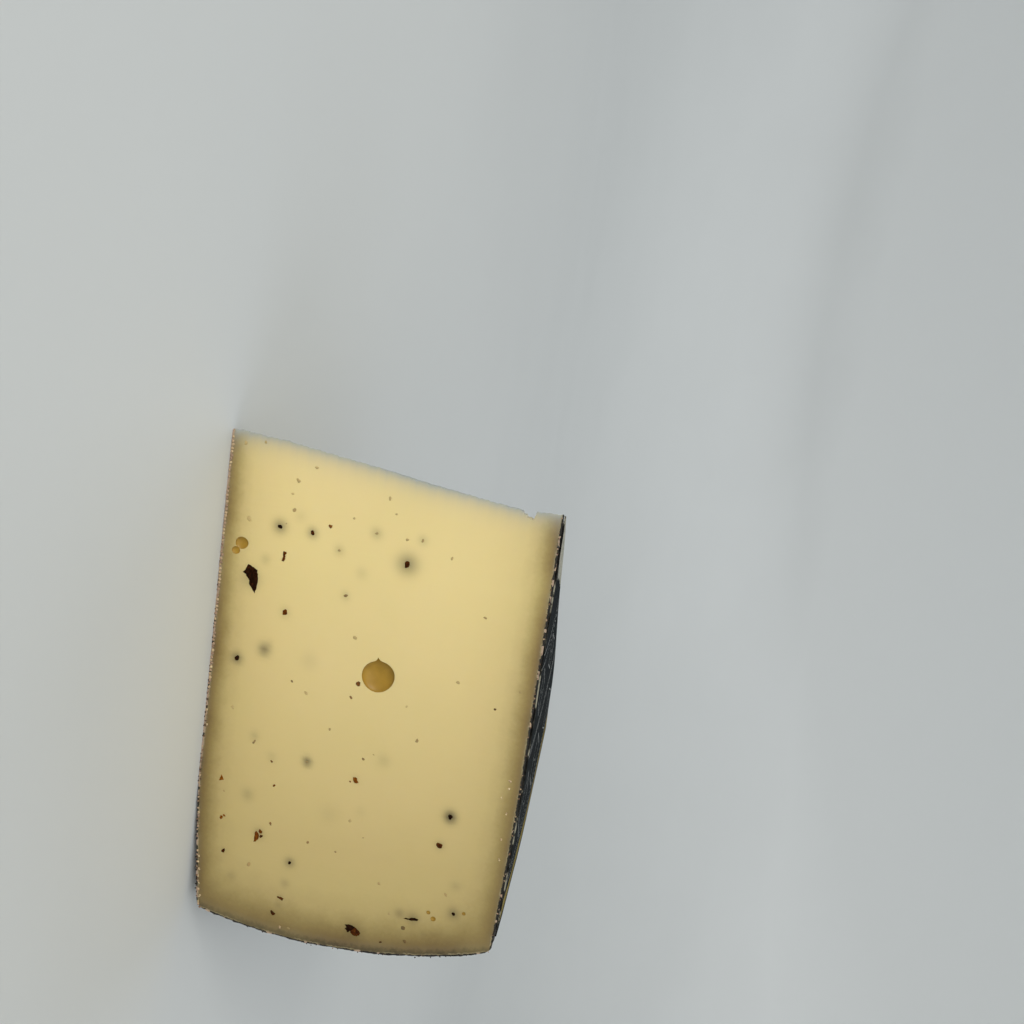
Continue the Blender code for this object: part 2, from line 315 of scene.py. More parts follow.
def wedge_points(radius, height, share_across):
    """Points of the wedge for a radius, a height and a share of the way from cut to cut."""
    turn = WEDGE_ANGLE * share_across
    tip = tip_along(height)
    reach = side_radius(height)
    start = blunt_along(height) - tip
    far = np.sqrt(reach ** 2 - (tip * np.sin(turn)) ** 2) - tip * np.cos(turn)
    distance = start + (far - start) * radius / reach
    x = tip + distance * np.cos(turn)
    y = distance * np.sin(turn)
    points = np.stack(np.broadcast_arrays(x, y, height), axis=-1)
    from_start = points - HIDDEN_START
    soft = EDGE_SOFT * np.exp(-(distance - start) / EDGE_SOFT_REACH)
    shown = shown_wave(points[..., 0], points[..., 2]) - soft
    hidden = hidden_wave(-(from_start @ ALONG_CUT), from_start @ HIDDEN_UP) - soft
    points += ((1 - share_across) * shown)[..., None] * SHOWN_OUT
    points += (share_across * hidden)[..., None] * HIDDEN_OUT
    return points


along_shares = eased(ALONG_STEPS, CLOSER_AT_ENDS)
up_shares = eased(HEIGHT_STEPS, CLOSER_AT_ENDS / 2)
tip_border = np.column_stack((np.zeros(HEIGHT_STEPS + 1), WHEEL_HEIGHT * up_shares))
section = blended(spaced(base_line, along_shares), spaced(top_line, along_shares),
                  tip_border, spaced(side_line, up_shares), along_shares, up_shares)
across = np.linspace(0, 1, ACROSS_STEPS + 1)[None, None]
block = wedge_points(section[..., 0][..., None], section[..., 1][..., None], across)
half = ACROSS_STEPS // 2
block[0, :, :half] = block[0, :, :1]
block[0, :, half:] = block[0, :, -1:]
print("block of", block.shape[:3], "points")

# %% Skin of the block
PASTE_FACES, RIND_FACES, EYE_FACES = range(3)


def skin_faces(indices, flip):
    """Quads over a grid of point numbers."""
    corners = (indices[:-1, :-1], indices[1:, :-1], indices[1:, 1:], indices[:-1, 1:])
    quads = np.stack(corners, axis=-1).reshape(-1, 4)
    return quads[:, ::-1] if flip else quads


skin = np.ones(block.shape[:3], bool)
skin[1:-1, 1:-1, 1:-1] = False
numbers = np.full(skin.shape, -1)
numbers[skin] = np.arange(skin.sum())
patches = (
    (numbers[:, :, 0], False, PASTE_FACES),
    (numbers[:, :, -1], True, PASTE_FACES),
    (numbers[0], True, PASTE_FACES),
    (numbers[-1], False, RIND_FACES),
    (numbers[:, -1], False, RIND_FACES),
    (numbers[:, 0], True, RIND_FACES),
)
skin_quads = np.vstack([skin_faces(grid, flip) for grid, flip, _ in patches])
skin_zones = np.concatenate([np.full((grid.shape[0] - 1) * (grid.shape[1] - 1), zone)
                             for grid, _, zone in patches])


def show(name, mesh):
    """An object for a mesh, linked to the scene."""
    shown = bpy.data.objects.new(name, mesh)
    scene.collection.objects.link(shown)
    return shown


body_mesh = bpy.data.meshes.new("cheese_body")
body_mesh.from_pydata((block[skin] + AXIS_PLACE).tolist(), [], skin_quads.tolist())
for _ in (PASTE_FACES, RIND_FACES, EYE_FACES):
    body_mesh.materials.append(None)
body_mesh.polygons.foreach_set("material_index", skin_zones)
tidy = bmesh.new()
tidy.from_mesh(body_mesh)
bmesh.ops.remove_doubles(tidy, verts=tidy.verts, dist=0.001 * MM)
bmesh.ops.recalc_face_normals(tidy, faces=tidy.faces)
if tidy.calc_volume(signed=True) < 0:
    bmesh.ops.reverse_faces(tidy, faces=tidy.faces)
print("skin encloses", round(tidy.calc_volume(signed=True) * 1e6), "cubic centimetres")
tidy.to_mesh(body_mesh)
tidy.free()
cheese_body = show("cheese_body", body_mesh)
print("skin has", len(body_mesh.polygons), "faces")

# %% [markdown]
# ## Wrinkled rind
#
# While the wheel ripened, its coated rind dried into fine wormy wrinkles about 1.5 mm apart,
# and the shelf pressed the underside flatter. Sculpting that by hand would never end. A
# Geometry Nodes tree pushes each rind point out or in along its own direction by a noise, so
# the wrinkles are real shape and also roughen the outline of the cut.

# %% Tree for the wrinkles
WRINKLE_SPACING = 1.7 * MM
WRINKLE_DEPTH = 0.42 * MM
RIPPLE_SPACING = 9 * MM
RIPPLE_DEPTH = 0.40 * MM
LABEL_RADIUS = 106 * MM


def new_tree(name, sizes):
    """A Geometry Nodes tree with a named input for each size, and the sockets of its inputs."""
    global tree
    tree = bpy.data.node_groups.new(name, "GeometryNodeTree")
    tree.interface.new_socket("Geometry", in_out="INPUT", socket_type="NodeSocketGeometry")
    for title, size in sizes.items():
        kind = "NodeSocketInt" if isinstance(size, int) else "NodeSocketFloat"
        tree.interface.new_socket(title, in_out="INPUT", socket_type=kind).default_value = size
    tree.interface.new_socket("Geometry", in_out="OUTPUT", socket_type="NodeSocketGeometry")
    return tree, add("NodeGroupInput").node.outputs


def grown(source, tree, sizes):
    """What a tree makes of an object, as a plain mesh. The modifier is taken off again."""
    maker = source.modifiers.new("grow", "NODES")
    maker.node_group = tree
    for item in tree.interface.items_tree:
        if item.in_out == "INPUT" and item.name in sizes:
            maker[item.identifier] = sizes[item.name]
    seen = source.evaluated_get(bpy.context.evaluated_depsgraph_get())
    mesh = bpy.data.meshes.new_from_object(seen)
    source.modifiers.clear()
    return mesh


def noise_push(place, spacing, depth, detail):
    """Socket with a push out or in that follows a noise."""
    grain, = noises(place, (add("Math DIVIDE", 1.0, spacing), detail, 0.8))
    return add("Math MULTIPLY", add("Math SUBTRACT", grain, 0.5), depth)


wrinkle_sizes = {"Wrinkle spacing": WRINKLE_SPACING, "Wrinkle depth": 2 * WRINKLE_DEPTH,
                 "Ripple spacing": RIPPLE_SPACING, "Ripple depth": 2 * RIPPLE_DEPTH}
wrinkle_tree, given = new_tree("rind_wrinkles", wrinkle_sizes)
place = add("InputPosition")
fine = noise_push(place, given["Wrinkle spacing"], given["Wrinkle depth"], 3.0)
broad = noise_push(place, given["Ripple spacing"], given["Ripple depth"], 1.0)
outward = add("InputNamedAttribute FLOAT_VECTOR", "rind_out")
offset = add("VectorMath SCALE", outward, add("Math ADD", fine, broad))
add("NodeGroupOutput", add("RealizeInstances", add("SetPosition", given["Geometry"], Offset=offset)))

# %% Wrinkle the rind
UNDERSIDE_SHARE = 0.35
UNDER_LABEL_SHARE = 0.2


def store(mesh, name, values):
    """A number or direction for each point of a mesh, under a name that nodes can read."""
    kind, key = ("FLOAT_VECTOR", "vector") if np.ndim(values) == 2 else ("FLOAT", "value")
    column = np.array(values, np.float32).ravel()
    mesh.attributes.new(name, kind, "POINT").data.foreach_set(key, column)


def points_of(mesh):
    """All points of a mesh as rows."""
    flat = np.empty(len(mesh.vertices) * 3)
    mesh.vertices.foreach_get("co", flat)
    return flat.reshape(-1, 3)


def rind_directions(mesh):
    """Outward direction of the rind at each point, shorter where the rind is smoother."""
    out = np.zeros((len(mesh.vertices), 3))
    for face in mesh.polygons:
        if face.material_index == RIND_FACES:
            out[list(face.vertices)] += np.array(face.normal) * face.area
    length = np.linalg.norm(out, axis=1, keepdims=True)
    out /= np.maximum(length, 1e-12)
    places = points_of(mesh) - AXIS_PLACE
    radius = np.hypot(places[:, 0], places[:, 1])
    share = np.where(out[:, 2] < -0.8, UNDERSIDE_SHARE, 1.0)
    share = np.where((out[:, 2] > 0.8) & (radius < LABEL_RADIUS), UNDER_LABEL_SHARE, share)
    return out * share[:, None]


directions = rind_directions(body_mesh)
store(body_mesh, "rind_out", directions)
cheese_body.data = grown(cheese_body, wrinkle_tree, wrinkle_sizes)
cheese_body.data.attributes.remove(cheese_body.data.attributes["rind_out"])
print("rind points pushed:", int((np.linalg.norm(directions, axis=1) > 0).sum()))

# %% [markdown]
# ## Eyes and the broken tip
#
# Gas left a few round eyes, and the wire opened them. The largest is 8 mm across, with a small
# pointed nick on the side towards the tip, and two little ones run into each other near the
# base. A hole with a crisp mouth is easiest to cut with a Boolean. The cutters are balls of our
# own making, uneven as real eyes are, and the thin edge loses a crumb to a stepped block.

# %% Cutters for the eyes
EYES = (
    (46.4, 42.1, 3.95, 96),
    (19.8, 5.1, 1.55, 24),
    (21.8, 3.8, 1.0, 16),
    (103.6, 62.0, 0.55, 10),
    (105.0, 63.4, 0.7, 10),
    (101.9, 70.7, 0.5, 10),
)
EYE_DEEPER = 1.12
EYE_FLATTER = 0.38
NICK_TURN = math.radians(187)
NICK_WIDTH = 0.08
NICK_REACH = 0.25
CHIP_OUTLINE = ((-1.2, 70.55), (1.0, 70.6), (1.65, 70.7), (1.8, 71.0), (1.8, 71.55), (2.4, 71.65),
                (2.55, 72.0), (2.5, 72.6), (2.9, 73.0), (2.4, 73.35), (1.8, 73.45), (1.45, 73.65),
                (-1.2, 73.8))
CHIP_LAYERS = (-1.2, 0.3, 1.2, 2.1, 3.0, 4.8)
CHIP_JITTER = 0.07
CUTTER_SEED = 5
draw = random.Random(CUTTER_SEED)


def eye_cutter(along, height, mouth, segments):
    """An uneven ball that cuts an eye."""
    cut = bmesh.new()
    bmesh.ops.create_uvsphere(cut, u_segments=segments, v_segments=segments // 2, radius=EYE_DEEPER)
    sunk = math.sqrt(EYE_DEEPER ** 2 - 1)
    lean = draw.uniform(0, math.tau)
    for point in cut.verts:
        turn = math.atan2(point.co.y, point.co.x)
        swell = 1 + 0.03 * math.sin(2 * turn + lean) + 0.015 * math.sin(3 * turn + 2 * lean)
        if mouth > 3:
            off = (turn - NICK_TURN + math.pi) % math.tau - math.pi
            near_mouth = math.exp(-((point.co.z - sunk) / 0.22) ** 2)
            swell += NICK_REACH * math.exp(-abs(off) / NICK_WIDTH) * near_mouth
        point.co.x *= swell
        point.co.y *= swell
    size = mouth * MM
    proud = shown_wave(along * MM, height * MM)
    for point in cut.verts:
        x, y, z = point.co
        point.co = (along * MM + x * size, (sunk - z) * size * EYE_FLATTER - proud, height * MM + y * size)
    return cut


def chip_cutter():
    """The stepped gap where a crumb broke out of the thin edge, all the way through."""
    cut = bmesh.new()
    layers = []
    for inward in CHIP_LAYERS:
        layers.append([cut.verts.new(((along + draw.uniform(-CHIP_JITTER, CHIP_JITTER)) * MM, inward * MM,
                                      (height + draw.uniform(-CHIP_JITTER, CHIP_JITTER)) * MM))
                       for along, height in CHIP_OUTLINE])
    cut.faces.new(layers[0])
    cut.faces.new(layers[-1][::-1])
    for front, back in zip(layers, layers[1:]):
        for index in range(len(front)):
            after = (index + 1) % len(front)
            cut.faces.new((front[index], back[index], back[after], front[after]))
    return cut


cutters = []
for number, cut in enumerate([eye_cutter(*eye) for eye in EYES] + [chip_cutter()]):
    bmesh.ops.translate(cut, vec=AXIS_PLACE, verts=cut.verts)
    bmesh.ops.recalc_face_normals(cut, faces=cut.faces)
    data = bpy.data.meshes.new(f"cutter_{number}")
    cut.to_mesh(data)
    cut.free()
    cutters.append(show(data.name, data))
    opening = cheese_body.modifiers.new(data.name, "BOOLEAN")
    opening.operation = "DIFFERENCE"
    opening.solver = "MANIFOLD"
    opening.object = cutters[-1]
cut_body = cheese_body.evaluated_get(bpy.context.evaluated_depsgraph_get())
cheese_body.data = bpy.data.meshes.new_from_object(cut_body)
cheese_body.modifiers.clear()
for cutter in cutters:
    bpy.data.objects.remove(cutter)
print("body has", len(cheese_body.data.polygons), "faces after the cuts")

# %% [markdown]
# ## Truffle: where it lies
#
# The truffle is stirred into the milk, so the cut meets slices of it at random: a leaf-like
# piece 7 mm long, a few bits of 2 to 4 mm, and many dots. Around the darkest ones the juice has
# stained the paste blue-grey, and more pieces lie just under the surface as blurred clouds. The
# places are kept in one list, because the stains and the pieces both need them.

# %% Places of the truffle on the shown cut
# Specks: along, height, length, width in mm, turn in degrees, warmth, stain radius in mm, stain
SPECKS = (
    (18.0, 45.6, 1.7, 1.4, 20, 0.35, 3.2, 0.72),
    (77.8, 64.0, 1.15, 1.0, 0, 0.0, 2.0, 1.15),
    (85.6, 62.4, 1.6, 1.3, 60, 0.5, 1.6, 0.3),
    (48.4, 6.7, 1.35, 1.1, 0, 0.05, 1.9, 0.75),
    (14.3, 14.0, 1.1, 0.9, 100, 0.0, 2.1, 0.75),
    (14.5, 22.0, 1.1, 0.8, 0, 0.35, 1.7, 0.6),
    (73.2, 39.7, 1.5, 1.2, 40, 0.85, 1.3, 0.2),
    (34.9, 17.4, 1.5, 1.1, 15, 0.6, 1.7, 0.25),
    (108.3, 24.4, 1.8, 0.7, 80, 0.5, 1.2, 0.15),
    (112.8, 22.8, 1.4, 0.8, 45, 0.4, 1.2, 0.15),
    (98.8, 8.4, 1.3, 1.1, 0, 0.4, 1.2, 0.15),
    (98.3, 25.7, 1.0, 0.8, 0, 0.1, 1.7, 0.6),
    (102.5, 68.2, 0.95, 0.75, 0, 0.15, 1.9, 0.6),
)
# Dots: along, height and size in mm, warmth, and how faint the dot is under its film of paste
DOTS = (
    (-4.1, 3.6, 0.7, 0.5, 0.8), (-5.0, 8.4, 0.9, 0.3, 0.7), (-1.0, 21.3, 0.9, 0.6, 0.8),
    (2.7, 17.2, 1.0, 0.5, 0.75), (6.1, 16.2, 0.7, 0.4, 0.85), (9.8, 17.1, 0.9, 0.6, 0.6),
    (13.8, 6.3, 1.0, 0.5, 0.85), (13.4, 15.4, 0.5, 0.5, 0.5), (12.2, 26.1, 0.9, 0.8, 0.05),
    (9.4, 31.6, 0.6, 0.5, 0.75), (3.3, 39.5, 0.9, 0.4, 0.75), (6.7, 41.5, 0.6, 0.5, 0.75),
    (12.0, 37.4, 0.9, 0.2, 0.6), (17.6, 28.9, 0.8, 0.3, 0.6), (28.2, 31.7, 1.1, 0.5, 0.3),
    (51.6, 21.1, 0.6, 0.5, 0.3), (38.0, 35.3, 0.9, 0.5, 0.75), (53.9, 24.9, 0.9, 0.4, 0.8),
    (49.2, 37.5, 1.2, 0.6, 0.05), (52.8, 36.0, 0.9, 0.8, 0.2), (12.2, 44.9, 0.7, 0.4, 0.7),
    (11.8, 48.5, 0.9, 0.4, 0.6), (14.8, 55.8, 1.0, 0.7, 0.75), (27.4, 65.4, 1.0, 0.6, 0.55),
    (44.1, 61.3, 0.9, 0.5, 0.7), (43.6, 76.2, 0.7, 0.2, 0.6), (48.9, 70.9, 0.6, 0.4, 0.1),
    (60.3, 53.5, 0.9, 0.5, 0.5), (52.4, 49.9, 0.7, 0.5, 0.85), (61.0, 7.0, 1.1, 0.5, 0.8),
    (68.6, 13.4, 1.1, 0.5, 0.4), (61.8, 31.9, 0.8, 0.6, 0.6), (72.8, 18.3, 0.7, 0.6, 0.05),
    (71.1, 27.2, 0.9, 0.1, 0.5), (74.0, 38.5, 0.6, 0.95, 0.1), (67.6, 41.0, 0.7, 0.4, 0.35),
    (66.0, 43.4, 0.6, 0.5, 0.75), (78.9, 19.6, 0.9, 0.6, 0.0), (83.0, 7.0, 0.5, 0.5, 0.6),
    (89.0, 19.7, 0.9, 0.6, 0.2), (101.1, 15.2, 1.2, 0.6, 0.55), (92.0, 29.7, 0.7, 0.7, 0.35),
    (93.0, 36.9, 0.6, 0.6, 0.35), (84.0, 39.6, 0.7, 0.5, 0.75), (87.8, 43.4, 0.6, 0.7, 0.55),
    (98.9, 48.8, 0.9, 0.6, 0.6), (116.0, 27.3, 0.7, 0.4, 0.5), (114.3, 51.1, 0.7, 0.3, 0.0),
    (106.3, 52.2, 0.7, 0.4, 0.65), (98.1, 65.7, 0.9, 0.6, 0.6), (109.2, 56.2, 1.0, 0.3, 0.2),
    (112.7, 57.1, 0.9, 0.3, 0.2),
)
# Clouds: along, height and radius in mm, and how strong the stain is
CLOUDS = (
    (11.1, 18.7, 1.9, 0.12), (22.1, 34.9, 1.9, 0.15), (22.8, 11.3, 1.6, 0.25), (45.0, 13.3, 2.0, 0.8),
    (43.4, 14.6, 1.0, 0.2), (45.7, 24.7, 2.8, 0.12), (67.2, 13.3, 1.5, 0.28), (71.8, 18.2, 1.5, 0.2),
    (71.1, 27.2, 1.5, 0.95), (66.9, 46.0, 2.1, 0.2), (82.6, 13.1, 2.0, 0.32), (83.5, 34.3, 3.2, 0.1),
    (81.2, 41.9, 1.7, 0.1), (104.1, 25.1, 1.5, 0.26), (110.3, 24.0, 1.2, 0.24), (105.1, 11.1, 1.5, 0.2),
    (105.6, 54.9, 1.7, 0.45), (95.2, 67.6, 1.7, 0.2), (109.5, 61.4, 1.5, 0.14), (12.0, 37.4, 1.8, 0.34),
    (17.6, 28.9, 1.6, 0.28), (28.2, 31.7, 1.5, 0.25), (11.8, 48.5, 1.6, 0.25), (92.2, 17.0, 1.8, 0.42),
    (28.1, 8.0, 3.2, 0.42), (113.0, 43.8, 2.8, 0.4), (106.0, 58.2, 2.0, 0.45),
)

# %% Places of the truffle on the hidden cut
HIDDEN_SEED = 23
HIDDEN_SPECKS = 34
HIDDEN_DOTS = 60
HIDDEN_CLOUDS = 24
MARGIN = 5.0
CUT_LENGTH = 118.9
CUT_HEIGHT = 80
draw = random.Random(HIDDEN_SEED)


def free_places(count, clear):
    """Places on the hidden cut, in mm along and up, that keep clear of each other."""
    places = []
    while len(places) < count:
        place = (draw.uniform(MARGIN, CUT_LENGTH - MARGIN), draw.uniform(MARGIN, CUT_HEIGHT - MARGIN))
        if all(math.dist(place, other) > clear for other in places):
            places.append(place)
    return places


hidden_specks = []
for along, height in free_places(HIDDEN_SPECKS, 7.0):
    length = 0.9 + 3.4 * draw.random() ** 2.5
    warmth = draw.choice((0.0, 0.1, 0.5, 0.8))
    stain = 0.5 if warmth < 0.2 else 0.1
    hidden_specks.append((along, height, length, length * draw.uniform(0.45, 0.9),
                          draw.uniform(0, 180), warmth, 1.0 + 0.6 * length, stain))
hidden_dots = [(*place, draw.uniform(0.5, 1.1), draw.choice((0.3, 0.5, 0.6, 0.8)), draw.uniform(0, 0.85))
               for place in free_places(HIDDEN_DOTS, 4.0)]
hidden_clouds = [(*place, draw.uniform(1.3, 2.8), draw.uniform(0.1, 0.5))
                 for place in free_places(HIDDEN_CLOUDS, 9.0)]


def on_shown(along, height):
    """A point of the shown cut in the frame, for a place in mm."""
    u, v = along * MM, height * MM
    return np.array((u, 0, v)) + SHOWN_OUT * float(shown_wave(u, v)) + AXIS_PLACE


def on_hidden(along, height):
    """A point of the hidden cut in the frame, for a place in mm."""
    u, v = along * MM, height * MM
    flat = HIDDEN_START + ALONG_CUT * (u - TIP_AT_BASE) + HIDDEN_UP * v
    return flat + HIDDEN_OUT * float(hidden_wave(-(u - TIP_AT_BASE), v)) + AXIS_PLACE


print(len(SPECKS), "specks shown and", len(hidden_specks), "on the hidden cut")

# %% [markdown]
# ## Measures that the finish follows
#
# The paste is drier and browner near the rind, blue-grey round the truffle, and pale at the thin
# edge. Each is a measure of place, so it is stored on the points of the body. The material then
# needs no picture: it turns the depth under the rind, in millimetres, into a colour.

# %% Store depth, stain and edge
BASE_DEPTH_SHARE = 1.0
SIDE_DEPTH_SHARE = 0.55
TOP_DEPTH_SHARE = 1.1
DEPTH_POWER = 2.2
EDGE_PALE_REACH = 2.0 * MM
STAIN_DEPTH = 0.8
# How pale the crust is, by distance from the axis in mm: on the underside, and under the paper
PALE_UNDERSIDE = ((0, 40, 60, 80, 100, 119), (1.0, 1.0, 0.8, 0.55, 0.42, 0.35))
PALE_UNDER_PAPER = ((0, 25, 45, 100), (0.3, 0.24, 0.1, 0.05))


def stain_at(places, spots):
    """How strongly the truffle's juice stains each place."""
    stain = np.zeros(len(places))
    for spot, radius, strength in spots:
        far = np.linalg.norm(places - spot, axis=1) / (radius * MM)
        stain = 1 - (1 - stain) * (1 - strength * np.exp(-far ** 2 * 1.6)).clip(0)
    return stain


stains = []
for on_cut, specks, clouds in ((on_shown, SPECKS, CLOUDS), (on_hidden, hidden_specks, hidden_clouds)):
    stains += [(on_cut(speck[0], speck[1]), speck[6], speck[7]) for speck in specks]
    stains += [(on_cut(cloud[0], cloud[1]), cloud[2], cloud[3]) for cloud in clouds]

places = points_of(cheese_body.data)
wheel_places = places - AXIS_PLACE
radius = np.hypot(wheel_places[:, 0], wheel_places[:, 1])
height = wheel_places[:, 2]
depths = (
    (height - base_height(radius)) * BASE_DEPTH_SHARE,
    (side_radius(height) - radius) * SIDE_DEPTH_SHARE,
    (top_height(radius) - height) * TOP_DEPTH_SHARE,
)
depths = np.maximum(np.array(depths), 0.001 * MM) / MM
true_depths = depths / np.array(((BASE_DEPTH_SHARE,), (SIDE_DEPTH_SHARE,), (TOP_DEPTH_SHARE,)))
skin_depth = np.min(true_depths, axis=0)
pale_crust = np.choose(np.argmin(true_depths, axis=0), (
    np.interp(radius / MM, *PALE_UNDERSIDE), 0.05, np.interp(radius / MM, *PALE_UNDER_PAPER)))
depths[1] *= 1 - 0.7 * np.exp(-true_depths[1] / 2.6)
depths[0] *= 1 + 0.35 * np.exp(-radius / (25 * MM))
soft_depth = np.sum(depths ** -DEPTH_POWER, axis=0) ** (-1 / DEPTH_POWER)
from_edge = wheel_places[:, 0] - blunt_along(height)
inward = (wheel_places[:, 1] + shown_wave(wheel_places[:, 0], height)) / MM
columns = {"rind_depth": soft_depth, "truffle_stain": STAIN_DEPTH * stain_at(places, stains),
           "skin_depth": skin_depth, "pale_crust": pale_crust,
           "thin_edge": np.exp(-np.maximum(from_edge, 0) / EDGE_PALE_REACH), "eye_depth": inward.clip(0, 9)}
for name, values in columns.items():
    store(cheese_body.data, name, values)
print("depth under the rind reaches", round(float(soft_depth.max()), 1), "mm")

# %% [markdown]
# ## Finish of the paste
#
# Semi-hard cheese paste is a moist, slightly see-through solid of fat and protein. It is cream
# in the middle and turns olive and brown in the last centimetre under the rind, where it dried.
# The wire leaves it satin, with faint drag lines. A ramp on the stored depth gives the zones,
# noise wavers their borders, and a little subsurface light keeps the cream soft.

# %% Paste material
def from_axis(coords):
    """The place from the wheel's axis, and its distance from that axis."""
    place = add("VectorMath ADD", coords, tuple(-AXIS_PLACE))
    return place, add("VectorMath LENGTH", add("VectorMath MULTIPLY", place, (1, 1, 0)))


paste, coords = new_finish("semi_hard_cheese_paste_wire_cut")
depth, stain, thin, skin, pale = stored(
    "rind_depth", "truffle_stain", "thin_edge", "skin_depth", "pale_crust")
waver, crust, cloudy, jag, broken, dashes = noises(
    coords, (260, 4), (1100, 2), (38, 3), (1300, 3), (330, 1), (480, 1))
waver = add("Math MULTIPLY", add("Math MULTIPLY_ADD", waver, 2, -1), add("MapRange", depth, 0, 4, 0.15, 1))
depth = add("Math ADD", add("Math ADD", depth, waver), add("Math MULTIPLY_ADD", crust, 0.9, -0.45))
colour = add("ValToRGB", add("Math MULTIPLY", depth, 1 / 24), stops=(
    (0.0, "2c2416"), (0.014, "4c3e28"), (0.034, "786443"), (0.06, "80693c"), (0.107, "95804b"),
    (0.167, "b09c64"), (0.24, "c8b37a"), (0.35, "d7c286"), (0.5, "dec88c"), (0.72, "e4ce91"),
    (1.0, "e8d296")))
colour = add("Mix RGBA", add("MapRange", cloudy, 0.35, 0.7, 0, 0.3), colour, "dccb86")
# Painted shade: from 20 mm to 92 mm out from the axis the paste is multiplied darker, so it fades from the
# tip towards the rind as the light falls off.
painted_rind_end_shade = add("MapRange", from_axis(coords)[1], 20 * MM, 92 * MM)
colour = add("Mix RGBA", painted_rind_end_shade, colour, "dfdcd5", blend_type="MULTIPLY")
colour = add("Mix RGBA", stain, colour, "3c4047", blend_type="MULTIPLY")
colour = add("Mix RGBA", thin, colour, "9ea29c")
skin = add("Math ADD", skin, add("Math MULTIPLY_ADD", jag, 0.8, -0.4))
lining = add("MapRange", skin, 0.62, 0.78, 1, 0)
lining = add("Math MULTIPLY", lining, add("MapRange", broken, 0.42, 0.55, 0.1, 0.7))
colour = add("Mix RGBA", lining, colour, "988c6a")
black = add("Math GREATER_THAN", add("MapRange", dashes, 0.36, 0.64), pale)
crust_colour = add("Mix RGBA", black, "a8917c", "15120a")
colour = add("Mix RGBA", add("MapRange", skin, 0.36, 0.54, 1, 0), colour, crust_colour)
drag, = noises(add("Mapping", coords, Scale=(1, 1, 0.12)), (900, 3))
SOFT_LIGHT = (1.0, 0.7, 0.3)
end_finish(colour, add("MapRange", cloudy, 0.3, 0.7, 0.42, 0.55), drag, 0.05 * MM, 0.6, IOR=1.45,
           Subsurface_Weight=0.2, Subsurface_Scale=2 * MM, Subsurface_Radius=SOFT_LIGHT)

# %% [markdown]
# ## Finish of the rind
#
# The rind of a cellar-ripened wheel is washed and coated until it is almost black-brown, waxy
# where it is thick and golden where hands and shelves have rubbed it. Two noises of different
# size set where the wax is thin, and the hollows of the wrinkles stay darkest.

# %% Rind material
rind, coords = new_finish("aged_waxed_cheese_rind")
broad, fine, grain = noises(coords, (48, 4, 0.6), (620, 4, 0.8), (1900, 2))
wax = add("ValToRGB", fine, stops=((0.32, "070605"), (0.46, "0f0c09"), (0.58, "1b140e"), (0.72, "2c1f15")))
bare = add("Math MAXIMUM", add("MapRange", broad, 0.46, 0.7), *stored("pale_crust"))
rubbed = add("MapRange", add("Math MULTIPLY_ADD", bare, 0.19, grain), 0.63, 0.79)
tone = add("ValToRGB", rubbed, stops=((0.0, "2c1f15"), (0.35, "5a4229"), (0.7, "8c7450"), (1.0, "b09a76")))
end_finish(add("Mix RGBA", add("MapRange", rubbed, 0, 0.3), wax, tone),
           add("MapRange", broad, 0.3, 0.7, 0.38, 0.62),
           add("Math ADD", fine, grain), 0.4 * MM, 0.9, IOR=1.46, Specular_IOR_Level=0.3)

# %% [markdown]
# ## Finish of the eye walls
#
# Inside an eye the paste has a skin of its own, wet and amber. It is smoother than the cut, and a thin ring
# at the mouth is painted darker as shade where the rim turns down into the hole.

# %% Eye material
eye_wall, coords = new_finish("wet_skin_of_cheese_eye")
soft, = noises(coords, (320, 3))
colour = add("ValToRGB", soft, stops=((0.3, "a07d24"), (0.5, "a98429"), (0.7, "b18c30")))
# Painted shade: the eye wall within 0.35 mm of the cut face is darkened into a thin ring at the rim.
mouth = add("MapRange", *stored("eye_depth"), 0.08, 0.35, 0.6, 0)
end_finish(add("Mix RGBA", mouth, colour, "6b5220"), 0.42, soft, 0.1 * MM, 0.5, IOR=1.42,
           Subsurface_Weight=0.15, Subsurface_Scale=1.5 * MM, Subsurface_Radius=SOFT_LIGHT)

# %% Finish the body
body_mesh = cheese_body.data
for zone, finish in enumerate((paste, rind, eye_wall)):
    body_mesh.materials[zone] = finish
centres = np.empty(len(body_mesh.polygons) * 3)
body_mesh.polygons.foreach_get("center", centres)
centres = centres.reshape(-1, 3) - AXIS_PLACE
zones = np.empty(len(body_mesh.polygons), int)
body_mesh.polygons.foreach_get("material_index", zones)
inward = centres[:, 1] + shown_wave(centres[:, 0], centres[:, 2])
for along, height, mouth, _ in EYES:
    aside = np.hypot(centres[:, 0] - along * MM, centres[:, 2] - height * MM)
    near = (inward > 0.01 * MM) & (inward < 2.4 * mouth * MM) & (aside < 1.4 * mouth * MM)
    zones[near] = EYE_FACES
body_mesh.polygons.foreach_set("material_index", zones)
print("faces in the eyes:", int((zones == EYE_FACES).sum()))
body_mesh.shade_smooth()
body_mesh.set_sharp_from_angle(angle=math.radians(42))
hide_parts("cheese_wedge")
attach(cheese_body, "root")

# %% [markdown]
# ## Truffle: the larger pieces
#
# The leaf-like slice and its neighbours have outlines of their own, so each is drawn point by
# point in millimetres on the cut. A thin slab follows: the outline is shrunk inwards in steps
# that rise a little, which gives a low crown, and a wall runs down into the paste. It is closed,
# so it stays solid when it is exported.

